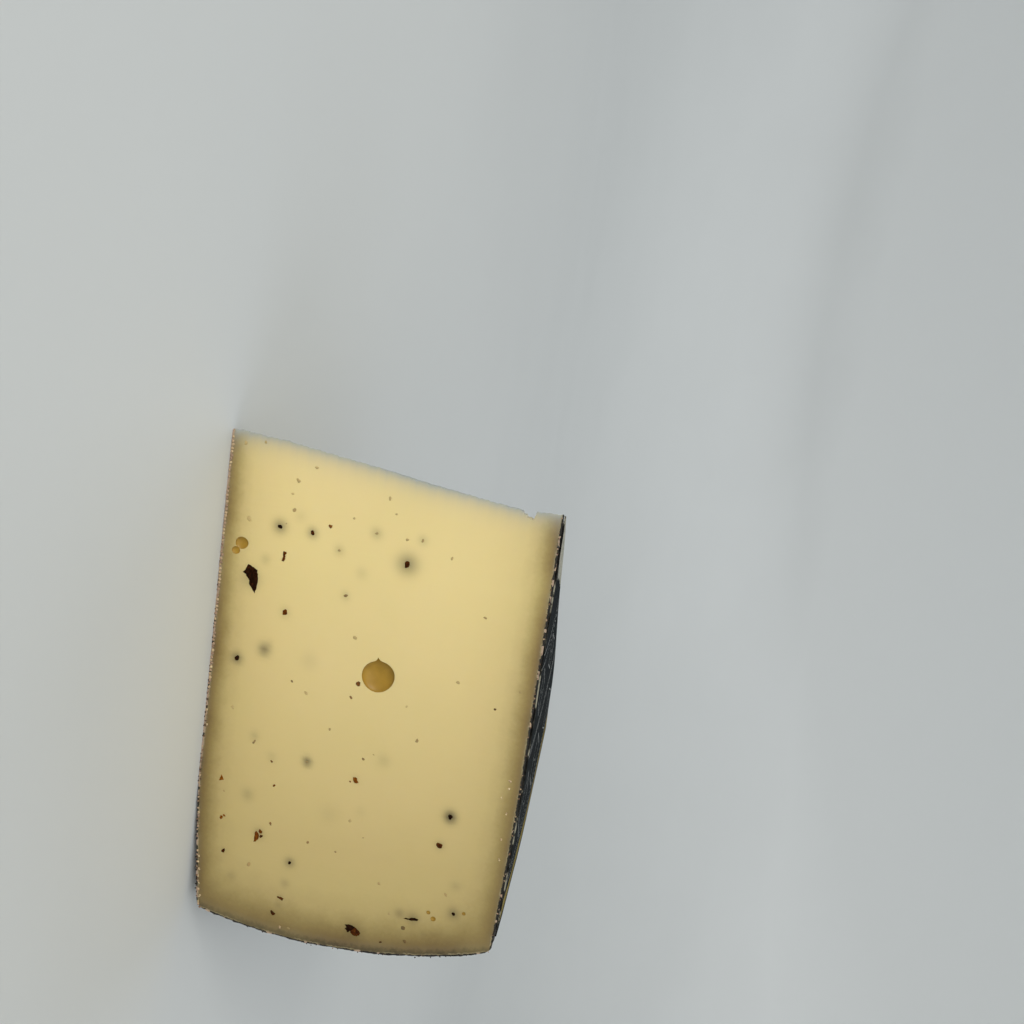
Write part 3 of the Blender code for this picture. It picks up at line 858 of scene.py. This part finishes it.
# %% Larger truffle pieces
SLICES = (
    (0.08, ((24.7, 7.2), (25.1, 8.2), (25.8, 9.6), (27.2, 9.8), (28.8, 9.95), (30.0, 9.8), (31.6, 9.5),
            (30.6, 8.7), (29.6, 7.9), (28.6, 7.8), (27.7, 7.0), (26.9, 6.75), (26.95, 6.2), (26.7, 6.0),
            (26.2, 6.6), (25.4, 6.9))),
    (0.6, ((20.1, 15.5), (20.1, 16.2), (20.5, 16.3), (20.8, 16.0), (21.3, 16.1), (22.2, 16.0),
           (22.6, 15.6), (22.5, 15.2), (22.1, 15.35), (21.3, 15.5), (20.5, 15.4))),
    (0.0, ((111.7, 41.5), (111.4, 42.5), (111.5, 43.5), (112.0, 44.3), (112.7, 44.0), (112.9, 43.2),
           (113.6, 42.5), (113.1, 42.1), (112.7, 41.7), (112.2, 42.1))),
    (0.4, ((112.2, 43.6), (111.9, 44.3), (112.5, 45.2), (113.0, 45.7), (113.7, 45.6), (114.2, 44.9),
            (114.1, 44.0), (113.5, 43.2), (112.9, 43.1))),
    (0.0, ((106.6, 56.0), (106.3, 56.6), (106.4, 57.2), (105.9, 58.2), (105.8, 58.9), (106.0, 59.8),
           (106.5, 59.6), (106.6, 58.6), (106.7, 57.6), (106.7, 56.7))),
    (0.7, ((91.7, 16.4), (92.6, 17.1), (93.6, 17.1), (94.6, 16.5), (94.8, 15.9), (93.2, 16.0),
            (92.0, 16.1))),
    (0.6, ((91.0, 17.2), (91.5, 17.9), (92.1, 17.8), (92.2, 17.3), (91.7, 16.9))),
    (0.3, ((92.5, 17.5), (92.6, 18.2), (93.1, 18.0), (93.4, 17.4), (93.0, 17.2))),
    (0.9, ((78.8, 5.9), (80.1, 6.6), (80.5, 5.4))),
    (0.8, ((89.6, 6.7), (89.6, 7.2), (90.2, 7.3), (90.6, 6.9), (90.1, 6.5))),
    (0.9, ((89.0, 7.6), (89.6, 8.1), (89.7, 7.6), (89.3, 7.3))),
)
SLICE_PROUD = 0.12 * MM
SLICE_SUNK = 0.9 * MM
SLICE_RINGS = ((1.0, -SLICE_SUNK), (1.0, 0.02 * MM), (0.9, 0.6 * SLICE_PROUD),
               (0.66, SLICE_PROUD), (0.36, 0.85 * SLICE_PROUD))
OUTLINE_STEPS = 3


def finer(outline):
    """An outline with points added between its corners, a little off the straight line."""
    points = []
    for here, there in zip(outline, outline[1:] + outline[:1]):
        for step in range(OUTLINE_STEPS):
            share = step / OUTLINE_STEPS
            wobble = 0.09 if step else 0
            points.append(tuple(a + (b - a) * share + draw.uniform(-wobble, wobble)
                                for a, b in zip(here, there)))
    return points


def add_slice(solid, outline, warmth, warmths):
    """One slab of truffle on the shown cut."""
    outline = finer(outline)
    middle = np.mean(outline, axis=0)
    rings = []
    for share, lift in SLICE_RINGS:
        ring = []
        for place in outline:
            along, height = middle + (np.array(place) - middle) * share
            uneven = draw.uniform(-0.03, 0.03) * MM if share < 1 else 0
            point = on_shown(along, height) + SHOWN_OUT * (lift + uneven)
            ring.append(solid.verts.new(point))
            warmths.append(min(max(warmth + draw.uniform(-0.12, 0.12), 0), 1))
        rings.append(ring)
    count = len(outline)
    for low, high in zip(rings, rings[1:]):
        for index in range(count):
            after = (index + 1) % count
            solid.faces.new((low[index], low[after], high[after], high[index]))
    solid.faces.new(rings[0])
    solid.faces.new(rings[-1])


draw = random.Random(HIDDEN_SEED + 1)
solid = bmesh.new()
warmths = []
for warmth, outline in SLICES:
    add_slice(solid, outline, warmth, warmths)
bmesh.ops.recalc_face_normals(solid, faces=solid.faces)
slice_mesh = bpy.data.meshes.new("truffle_slices")
solid.to_mesh(slice_mesh)
solid.free()
store(slice_mesh, "warmth", warmths)
store(slice_mesh, "faint", np.zeros(len(warmths)))
truffle_slices = show("truffle_slices", slice_mesh)
print("slices have", len(slice_mesh.polygons), "faces")

# %% [markdown]
# ## Truffle: specks and dots
#
# More than a hundred smaller bits repeat one idea, an uneven grain sunk in the cut. Geometry
# Nodes put a small ball on each place, stretch and turn it by the numbers stored there, make
# all of them real, and then a noise dents them along the cut so that no two are alike.
# The dents stay out of the third direction, because a knife leaves every grain flat.

# %% Tree for the specks
dents = {"Dent spacing": 0.8 * MM, "Dent share": 0.9}
speck_tree, given = new_tree("truffle_specks", dents)
size, turn, out_of_cut = [add("InputNamedAttribute FLOAT_VECTOR", name)
                          for name in ("speck_size", "speck_turn", "speck_out")]
ball = add("MeshIcoSphere", 0.5, 2)
placed = add("InstanceOnPoints", given["Geometry"], Instance=ball, Rotation=turn, Scale=size)
normal = add("InputNormal")
sideways = add("VectorMath SUBTRACT", normal, add("VectorMath PROJECT", normal, out_of_cut))
depth = add("Math MULTIPLY", add("VectorMath LENGTH", size), given["Dent share"])
push = noise_push(add("InputPosition"), given["Dent spacing"], depth, 2.0)
offset = add("VectorMath SCALE", sideways, push)
dented = add("SetPosition", add("RealizeInstances", placed), Offset=offset)
speck_finish = add("SetMaterial", dented)
add("NodeGroupOutput", speck_finish)

# %% [markdown]
# Black truffle flesh is a dry, dark brown-black, and its thin slices and rind let some red-brown
# through. One material covers both, and the warmth stored on each piece mixes the two.

# %% Truffle material
truffle, coords = new_finish("black_truffle_flesh")
warm, faint = stored("warmth", "faint")
vein, = noises(coords, (1500, 3))
mixed = add("Math ADD", add("Math MULTIPLY_ADD", vein, 1.1, -0.55), warm)
flesh = add("ValToRGB", mixed, stops=(
    (0.0, "1a0b02"), (0.25, "2e1506"), (0.55, "50280a"), (0.85, "733f0d"), (1.0, "875114")))
end_finish(add("Mix RGBA", faint, flesh, "cdb67f"), 0.72, vein, 0.1 * MM, 0.7, IOR=1.4,
           Specular_IOR_Level=0.06)
speck_finish.node.inputs["Material"].default_value = truffle
truffle_slices.data.materials.append(truffle)

# %% Place the specks
SPECK_THICK = 0.32


def speck_cloud(name, specks, dots, on_cut, out_of_cut):
    """Points that carry the size, turn and colour of every speck and dot of one cut."""
    rows = [(*speck[:6], 0.0) for speck in specks]
    for along, height, length, warmth, faint in dots:
        rows.append((along, height, length, length * draw.uniform(0.55, 0.9), draw.uniform(0, 180),
                     warmth, faint))
    mesh = bpy.data.meshes.new(name)
    mesh.from_pydata([on_cut(row[0], row[1]).tolist() for row in rows], [], [])
    flat_turn = Vector((0, 0, 1)).rotation_difference(Vector(out_of_cut)).to_matrix()
    columns = {
        "speck_size": [(row[2] * MM, row[3] * MM, SPECK_THICK * row[3] * MM) for row in rows],
        "speck_turn": [(flat_turn @ Matrix.Rotation(math.radians(row[4]), 3, "Z")).to_euler()[:]
                       for row in rows],
        "speck_out": [out_of_cut] * len(rows),
        "warmth": [row[5] for row in rows],
        "faint": [row[6] for row in rows],
    }
    for title, values in columns.items():
        store(mesh, title, values)
    return show(name, mesh)


CUTS = (
    ("truffle_specks_shown", SPECKS, DOTS, on_shown, SHOWN_OUT),
    ("truffle_specks_hidden", hidden_specks, hidden_dots, on_hidden, HIDDEN_OUT),
)
speck_pieces = []
for name, specks, dots, on_cut, out_of_cut in CUTS:
    cloud = speck_cloud(name, specks, dots, on_cut, out_of_cut)
    cloud.data = grown(cloud, speck_tree, dents)
    cloud.data.shade_smooth()
    speck_pieces.append(cloud)
    print(name, "has", len(cloud.data.polygons), "faces")
for piece in [truffle_slices] + speck_pieces:
    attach(piece, "root")

# %% [markdown]
# ## Crumbs along the wire cuts
#
# Where the wire leaves the cheese it tears the dry crust into tiny teeth: pale ones along the
# underside, dark ones along the rind, and cream nubs under the label. They all follow an edge,
# so Geometry Nodes run along it: the line is cut into even steps, each step is moved a little,
# some stay empty, and an angular crumb of random size and tone is put on the others.

# %% Tree for the crumbs
crumb_inputs = {"Spacing": 0.8 * MM, "Smallest": 0.3 * MM, "Largest": 0.7 * MM, "Scatter": 0.15 * MM,
                "Filled": 0.85, "Darkest": 0.2, "Palest": 0.9, "Seed": 1}
crumb_tree, given = new_tree("edge_crumbs", crumb_inputs)
steps = add("ResampleCurve", add("MeshToCurve", given["Geometry"]), Length=given["Spacing"], mode="LENGTH")


def chance(kind, **span):
    """A random value of a kind, with the seed of the tree."""
    return add("RandomValue " + kind, Seed=given["Seed"], **span)


shift = chance("FLOAT_VECTOR", Min=(-1, -1, -1), Max=(1, 1, 1))
steps = add("SetPosition", steps, Offset=add("VectorMath SCALE", shift, given["Scatter"]))
crumbs = add("InstanceOnPoints", steps, chance("BOOLEAN", Probability=given["Filled"]),
             add("MeshIcoSphere", 0.5, 1), Rotation=chance("FLOAT_VECTOR", Max=(6.28, 6.28, 6.28)),
             Scale=chance("FLOAT_VECTOR", Min=given["Smallest"], Max=given["Largest"]))
tone = chance("FLOAT", Min=given["Darkest"], Max=given["Palest"])
crumbs = add("StoreNamedAttribute FLOAT", crumbs, Name="tone", Value=tone, domain="INSTANCE")
crumb_finish = add("SetMaterial", add("RealizeInstances", crumbs))
add("NodeGroupOutput", crumb_finish)

# %% [markdown]
# Dried crust breaks with a dull grainy face. Its outside is the black-brown coat and its inside
# is pale, pinkish at the underside and cream under the paper, so one number per crumb picks the
# tone.

# %% Crumb material
crumb_crust, coords = new_finish("torn_dry_cheese_crust")
grain, = noises(coords, (2200, 2))
toned = add("Math ADD", add("Math MULTIPLY_ADD", grain, 0.3, -0.15), *stored("tone"))
colour = add("ValToRGB", toned, stops=(
    (0.0, "15110b"), (0.3, "3a2c1d"), (0.55, "7a5f48"), (0.75, "a88d75"), (0.9, "c3ab85"), (1.0, "dccda0")))
end_finish(colour, 0.85, grain, 0.08 * MM, 0.7, IOR=1.45)
crumb_finish.node.inputs["Material"].default_value = crumb_crust

# %% Lay the crumbs
LOOSE_CRUMBS = ((70.3, 75.6), (65.5, 76.9), (67.6, 76.9), (80.7, 77.0), (74.1, 77.2), (86.0, 77.2),
                (66.5, 0.9), (101.5, 2.2), (103.2, 2.0), (105.0, 2.3), (107.0, 2.4), (108.6, 2.7),
                (110.5, 2.7), (112.3, 3.2), (113.9, 3.1), (116.0, 25.0))


# Where the crumbs lie in the block along and up, spacing, smallest, largest and scatter in mm,
# share filled, darkest and palest tone, and seed
FINE_STEP, TIP_END, RIND_PART = 1, 2, 78
RIND_EDGE = slice(5, -5)
CRUMBS = (
    ("underside_teeth", slice(TIP_END, RIND_PART), FINE_STEP, (0.86, 0.55, 0.95, 0.14), 0.93, 0.66, 0.9, 3),
    ("underside_flakes", slice(RIND_PART, None), FINE_STEP, (0.95, 0.4, 0.85, 0.16), 0.62, 0.4, 0.9, 9),
    ("underside_crust", slice(RIND_PART // 2, None), 0, (1.2, 0.3, 0.65, 0.15), 0.55, 0.0, 0.35, 8),
    ("rind_edge_crust", -1, RIND_EDGE, (1.3, 0.15, 0.45, 0.22), 0.5, 0.0, 0.3, 4),
    ("rind_edge_flakes", -2, RIND_EDGE, (1.9, 0.15, 0.4, 0.25), 0.5, 0.5, 0.9, 5),
    ("nubs_under_label", slice(TIP_END, None), -2, (1.2, 0.2, 0.65, 0.2), 0.6, 0.35, 0.85, 6),
)


def lay_crumbs(name, lines, lengths, *shares):
    """Crumbs along some lines of points."""
    points, edges = [], []
    for line in lines:
        edges += [(step, step + 1) for step in range(len(points), len(points) + len(line) - 1)]
        points += (line + AXIS_PLACE).tolist()
    mesh = bpy.data.meshes.new("edge_lines")
    mesh.from_pydata(points, edges, [])
    source = show(name, mesh)
    sizes = [length * MM for length in lengths] + list(shares)
    source.data = grown(source, crumb_tree, dict(zip(crumb_inputs, sizes)))
    print(name, "has", len(source.data.polygons), "faces")
    return source


crumb_pieces = [lay_crumbs(name, (block[along, up, 0], block[along, up, -1]), *sizes)
                for name, along, up, *sizes in CRUMBS]
loose = [on_shown(*place) - AXIS_PLACE for place in LOOSE_CRUMBS]
loose = [np.array((point, point + np.array((0.25, 0, 0.1)) * MM)) for point in loose]
crumb_pieces.append(lay_crumbs("loose_crumbs", loose, (0.5, 0.25, 0.7, 0.15), 1.0, 0.8, 0.95, 7))
for piece in crumb_pieces:
    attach(piece, "root")

# %% [markdown]
# ## The paper label
#
# A sheet of soft charcoal paper was glued on the wheel before it was cut, so it ends in two
# wire-cut edges and its round rim. Paper this thin is modelled as a real sheet, 0.3 mm thick,
# that follows the top with slight flutes. Its cut edges are ragged and show the pale core, and
# at the tip the printed layer has torn away.

# %% Label sheet
LABEL_STEPS_ALONG = 190
LABEL_STEPS_ACROSS = 110
LABEL_THICK = 0.32 * MM
LABEL_LIFT = 0.12 * MM
FLUTE_DEPTH = 0.10 * MM
RAGGED = 0.35 * MM
FRAYED_REACH = 0.2 * MM


def flutes(x, y):
    """Slow rise and fall of the glued paper."""
    return FLUTE_DEPTH * (np.sin(x / MM / 7.0 + 1.2 * np.sin(y / MM / 9.0)) + np.sin(y / MM / 5.2)) / 2


def ragged(place, seed):
    """A rough edge line: quick small steps with a few longer ones."""
    steps = np.sin(place / MM * 3.1 + seed) + 0.6 * np.sin(place / MM * 7.7 + 2 * seed)
    return RAGGED * (0.35 * steps + 0.25 * np.sin(place / MM * 0.9 + 3 * seed))


label_shares = eased(LABEL_STEPS_ALONG, 0.2)
across_shares = eased(LABEL_STEPS_ACROSS, 0.4)
label_radius = LABEL_RADIUS * (0.004 + 0.996 * label_shares)[:, None]
label_top = np.full_like(label_radius, WHEEL_HEIGHT)
sheet = wedge_points(label_radius, label_top, across_shares[None])
along_cut = sheet[:, 0, 0].copy()
reach = label_shares.clip(0.03) ** 0.3 * 0.5
sheet[:, 0, 1] += np.abs(ragged(along_cut, 1.0)) * reach
sheet[:, -1] -= HIDDEN_OUT * (np.abs(ragged(along_cut, 4.0)) * reach)[:, None]
rim_turn = np.arctan2(sheet[-1, :, 1], sheet[-1, :, 0])
sheet[-1, :, :2] *= (1 + 0.0015 * np.sin(rim_turn * 90) + 0.001 * np.sin(rim_turn * 217))[:, None]
radius = np.hypot(sheet[..., 0], sheet[..., 1])
lower = sheet.copy()
lower[..., 2] = top_height(radius) + LABEL_LIFT + flutes(sheet[..., 0], sheet[..., 1])
upper = lower.copy()
upper[..., 2] += LABEL_THICK
low_numbers = np.arange(radius.size).reshape(radius.shape)
high_numbers = low_numbers + radius.size
rim = np.concatenate((low_numbers[:, 0], low_numbers[-1, 1:], low_numbers[-2::-1, -1],
                      low_numbers[0, -2:0:-1]))
wall = np.stack((rim, np.roll(rim, -1), np.roll(rim, -1) + radius.size, rim + radius.size), axis=-1)
faces = np.vstack((skin_faces(low_numbers, True), skin_faces(high_numbers, False), wall))
label_mesh = bpy.data.meshes.new("label_sheet")
label_points = np.vstack((lower.reshape(-1, 3), upper.reshape(-1, 3))) + AXIS_PLACE
label_mesh.from_pydata(label_points.tolist(), [], faces.tolist())
zones = np.zeros(len(faces), int)
zones[-len(wall):] = 1
label_mesh.polygons.foreach_set("material_index", zones)
from_shown = np.abs(sheet[..., 1] - sheet[:, :1, 1])
from_hidden = np.linalg.norm(sheet - sheet[:, -1:], axis=2)
from_rim = LABEL_RADIUS - radius
from_cut = np.minimum(np.minimum(from_shown, from_hidden), from_rim.clip(0))
store(label_mesh, "cut_edge", np.exp(-np.concatenate((from_cut.ravel(), from_cut.ravel())) / FRAYED_REACH))
label_sheet = show("label_sheet", label_mesh)
print("label has", len(faces), "faces")

# %% [markdown]
# Charcoal paper has short fibres in it, and its black ink is slightly blue. The gold band is
# printed on it and worn, and outside the band the ink has another cast. The band is only a
# radius, so the material measures the distance from the wheel's axis.

# %% Paper materials
GOLD_INNER = 96.3 * MM
GOLD_OUTER = 102.5 * MM
TORN_RADIUS = 12.5 * MM
TORN_SKEW = 0.8
paper, coords = new_finish("charcoal_printed_label_paper")
place, reach = from_axis(coords)
fibre, blot, patchy = noises(coords, (900, 5, 1.4), (120, 3), (110, 4))
ink = add("ValToRGB", fibre, stops=(
    (0.28, "0a0c0d"), (0.45, "121719"), (0.58, "1e2325"), (0.68, "303435"), (0.78, "454949")))
ink = add("Mix RGBA", add("Math GREATER_THAN", reach, GOLD_OUTER), ink, "151c1f")
gold = add("ValToRGB", fibre, stops=((0.25, "625425"), (0.5, "83743c"), (0.75, "a1915a")))
frayed = add("Math ADD", reach, add("Math MULTIPLY_ADD", fibre, 0.5 * MM, -0.25 * MM))
band = add("Math MULTIPLY", add("Math GREATER_THAN", frayed, GOLD_INNER),
           add("Math LESS_THAN", frayed, GOLD_OUTER))
colour = add("Mix RGBA", band, ink, gold)
skewed = add("Math MULTIPLY_ADD", add("SeparateXYZ", place, out="Y"), -TORN_SKEW, reach)
torn = add("Math ADD", skewed, add("Math MULTIPLY_ADD", blot, 10 * MM, -5 * MM))
core = add("ValToRGB", fibre, stops=((0.3, "7c7b70"), (0.5, "a5a396"), (0.7, "bdbaab")))
colour = add("Mix RGBA", add("Math LESS_THAN", torn, TORN_RADIUS), colour, core)
worn_edge = add("Math MULTIPLY", *stored("cut_edge"), add("MapRange", patchy, 0.5, 0.62, 0, 0.8))
end_finish(add("Mix RGBA", worn_edge, colour, "8f8b7e"), 0.95, fibre, 0.08 * MM, 0.8, IOR=1.45,
           Specular_IOR_Level=0.05)

paper_core, coords = new_finish("cut_edge_of_label_paper")
fibre, stretch = noises(coords, (700, 4), (75, 1))
fibre = add("Math ADD", fibre, add("MapRange", stretch, 0.47, 0.57, -0.2, 0.12))
colour = add("ValToRGB", fibre, stops=((0.25, "0e0f0e"), (0.45, "2c2b26"), (0.6, "8f8b7b")))
end_finish(colour, 0.95, Specular_IOR_Level=0.1)

for finish in (paper, paper_core):
    label_mesh.materials.append(finish)
label_mesh.shade_smooth()
label_mesh.set_sharp_from_angle(angle=math.radians(50))
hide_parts("paper_label")
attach(label_sheet, "root")

# %% [markdown]
# ## Print on the label
#
# The label carries a light print. Here it is a plain one of thin rings, lozenges and dots, in
# the pale grey ink of such labels. Each line lies on the paper as a film of ink, so Geometry
# Nodes run a thin round profile along flat lines and put a dot on each marked point, and then
# every point is pressed flat and lifted onto the paper.

# %% Tree for the print
print_inputs = {"Line width": 0.36 * MM, "Dot width": 0.8 * MM}
print_tree, given = new_tree("label_print", print_inputs)
half_line, half_dot = [add("Math MULTIPLY", given[name], 0.5) for name in print_inputs]
profile = add("CurvePrimitiveCircle", Resolution=6, Radius=half_line)
strokes = add("CurveToMesh", add("MeshToCurve", given["Geometry"]), profile, Fill_Caps=True)
is_dot = add("InputNamedAttribute BOOLEAN", "is_dot")
dots = add("InstanceOnPoints", given["Geometry"], is_dot, add("MeshIcoSphere", half_dot, 2))
joined = add("JoinGeometry", strokes)
tree.links.new(dots, joined.node.inputs[0])
print_finish = add("SetMaterial", add("RealizeInstances", joined))
add("NodeGroupOutput", print_finish)

# %% Ink material
ink_film, coords = new_finish("pale_grey_offset_ink_on_paper")
worn, = noises(coords, (1100, 3))
colour = add("ValToRGB", worn, stops=((0.3, "6a6c6d"), (0.48, "989a99"), (0.65, "b6b7b4")))
end_finish(colour, 0.9, Specular_IOR_Level=0.05)
print_finish.node.inputs["Material"].default_value = ink_film

# %% Draw the print
RING_RADII = (34.0, 58.0, 59.6, 92.0)
LOZENGE_RINGS = ((76.0, 3, 6.4, 9.5), (46.5, 2, 4.4, 6.6))
DOT_RINGS = ((88.0, 37), (37.5, 15))
PRINT_MARGIN = 0.55 * MM
INK_RISE = 0.03
INK_LIFT = 0.012 * MM


def turn_span(ring_radius):
    """Turns about the wheel's axis between which a ring lies on the paper."""
    row = int(np.argmin(np.abs(radius[:, 0] - ring_radius)))
    turns = np.arctan2(sheet[row, :, 1], sheet[row, :, 0])
    edge = PRINT_MARGIN / ring_radius
    return turns.min() + edge, turns.max() - edge


def ring_points(ring_radius, turns):
    """Flat points on a ring about the wheel's axis."""
    return np.column_stack((ring_radius * np.cos(turns), ring_radius * np.sin(turns), 0 * turns))


def even_turns(ring, count):
    """Turns that share out a ring on the paper evenly."""
    low, high = turn_span(ring * MM)
    return low + (high - low) * (np.arange(count) + 0.5) / count
print_points, print_edges, print_dots = [], [], []


def draw_path(points, closed):
    """Take a line of the print up in its lists."""
    first = len(print_points)
    count = len(points)
    print_edges.extend((first + step, first + step + 1) for step in range(count - 1))
    if closed:
        print_edges.append((first + count - 1, first))
    print_points.extend(points.tolist())
    print_dots.extend([False] * count)


for ring in RING_RADII:
    draw_path(ring_points(ring * MM, np.linspace(*turn_span(ring * MM), 90)), False)
for ring, count, half_wide, half_long in LOZENGE_RINGS:
    for turn in even_turns(ring, count):
        outward = np.array((math.cos(turn), math.sin(turn), 0))
        aside = np.array((-outward[1], outward[0], 0)) * half_wide
        outline = np.array([outward * (ring + half_long * math.cos(corner)) + aside * math.sin(corner)
                            for corner in np.linspace(0, math.tau, 4, endpoint=False)]) * MM
        path = [a + (b - a) * np.linspace(0, 1, 8, endpoint=False)[:, None]
                for a, b in zip(outline, np.roll(outline, -1, axis=0))]
        draw_path(np.concatenate(path), True)
        print_points.append((outward * ring * MM).tolist())
        print_dots.append(True)
for ring, count in DOT_RINGS:
    print_points.extend(ring_points(ring * MM, even_turns(ring, count)).tolist())
    print_dots.extend([True] * count)
print_mesh = bpy.data.meshes.new("label_print")
print_mesh.from_pydata(print_points, print_edges, [])
print_mesh.attributes.new("is_dot", "BOOLEAN", "POINT").data.foreach_set("value", print_dots)
label_print = show("label_print", print_mesh)
label_print.data = grown(label_print, print_tree, print_inputs)
flat = points_of(label_print.data)
flat_radius = np.hypot(flat[:, 0], flat[:, 1])
paper_top = top_height(flat_radius) + LABEL_LIFT + flutes(flat[:, 0], flat[:, 1]) + LABEL_THICK
flat[:, 2] = paper_top + INK_LIFT + INK_RISE * flat[:, 2]
label_print.data.vertices.foreach_set("co", (flat + AXIS_PLACE).ravel())
label_print.data.update()
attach(label_print, "root")
print("print has", len(label_print.data.polygons), "faces")

# %% [markdown]
# ## Stage and light
#
# The cheese stands on a pale floor that curves up into a round wall, so every view has the same
# quiet backdrop. Large soft lamps give the even light of a window: the strongest comes from
# the tip's side, so the paste is a little darker towards the rind. Both low lamps have a
# narrower spread, as a grid in front of a soft box gives, to keep their light off the floor.

# %% Floor and wall
FLOOR_RADIUS = 0.9
WALL_CURVE = 1.1
WALL_HEIGHT = 2.2
curve_turns = np.linspace(0, math.pi / 2, 17)
stage_line = [(r, 0.0) for r in np.linspace(0.02, FLOOR_RADIUS, 8)]
stage_line += [(FLOOR_RADIUS + WALL_CURVE * math.sin(t), WALL_CURVE * (1 - math.cos(t)))
               for t in curve_turns[1:]]
stage_line += [(FLOOR_RADIUS + WALL_CURVE, z) for z in np.linspace(WALL_CURVE, WALL_HEIGHT, 4)[1:]]
STAGE_SEGMENTS = 96
stage_points = []
for number in range(STAGE_SEGMENTS):
    turn = math.tau * number / STAGE_SEGMENTS
    stage_points += [(r * math.cos(turn), r * math.sin(turn), z) for r, z in stage_line]
numbers = np.arange(len(stage_points)).reshape(STAGE_SEGMENTS, -1)
stage_faces = skin_faces(np.vstack((numbers, numbers[:1])), True).tolist() + [numbers[:, 0].tolist()]
stage_mesh = bpy.data.meshes.new("studio_floor")
stage_mesh.from_pydata(stage_points, [], stage_faces)
stage_mesh.shade_smooth()
backdrop, coords = new_finish("matt_grey_backdrop_paper")
# Painted light: the backdrop is painted paler as it rises from the floor into the wall, to make up for the
# lamp light the wall gets less of; a noise mottles it.
painted_wall_light = add("MapRange", add("SeparateXYZ", coords, out="Z"), 0, 0.5)
painted_wall_light = add("Math ADD", painted_wall_light, add("Math MULTIPLY", *noises(coords, (5, 2)), 0.15))
end_finish(add("ValToRGB", painted_wall_light, stops=((0.0, "d2d5d4"), (0.15, "d8dbda"), (1.0, "f8faf9"))), 0.9)
stage_mesh.materials.append(backdrop)
floor = show("studio_floor", stage_mesh)

# %% Lamps and sky
LAMPS = (
    ("key", (-0.92, -0.93, 0.49), (-0.02, 0, 0.04), 0.67, 100, 3.1, "fffcf6"),
    ("front", (0.10, -1.50, 0.45), (0, 0, 0.04), 0.90, 100, 1.55, "fffdfa"),
    ("fill", (1.10, -0.60, 1.00), (0, 0, 0.04), 1.00, 180, 2.5, "fafcff"),
    ("back", (-0.20, 1.20, 1.00), (0, 0, 0.04), 1.00, 180, 2.8, "fafcff"),
)
for name, place, aim, size, spread, power, code in LAMPS:
    lamp = bpy.data.lights.new(name, "AREA")
    lamp.size = size
    lamp.spread = math.radians(spread)
    lamp.energy = power
    lamp.color = linear(code)[:3]
    holder = bpy.data.objects.new(name, lamp)
    scene.collection.objects.link(holder)
    holder.location = place
    holder.rotation_euler = (Vector(aim) - Vector(place)).to_track_quat("-Z", "Y").to_euler()
    holder.visible_camera = False
sky = bpy.data.worlds.new("sky")
sky.use_nodes = True
sky.node_tree.nodes["Background"].inputs[0].default_value = linear("eef1f4")
sky.node_tree.nodes["Background"].inputs[1].default_value = 0.49
scene.world = sky
scene.view_settings.view_transform = "Standard"
print(len(LAMPS), "lamps")
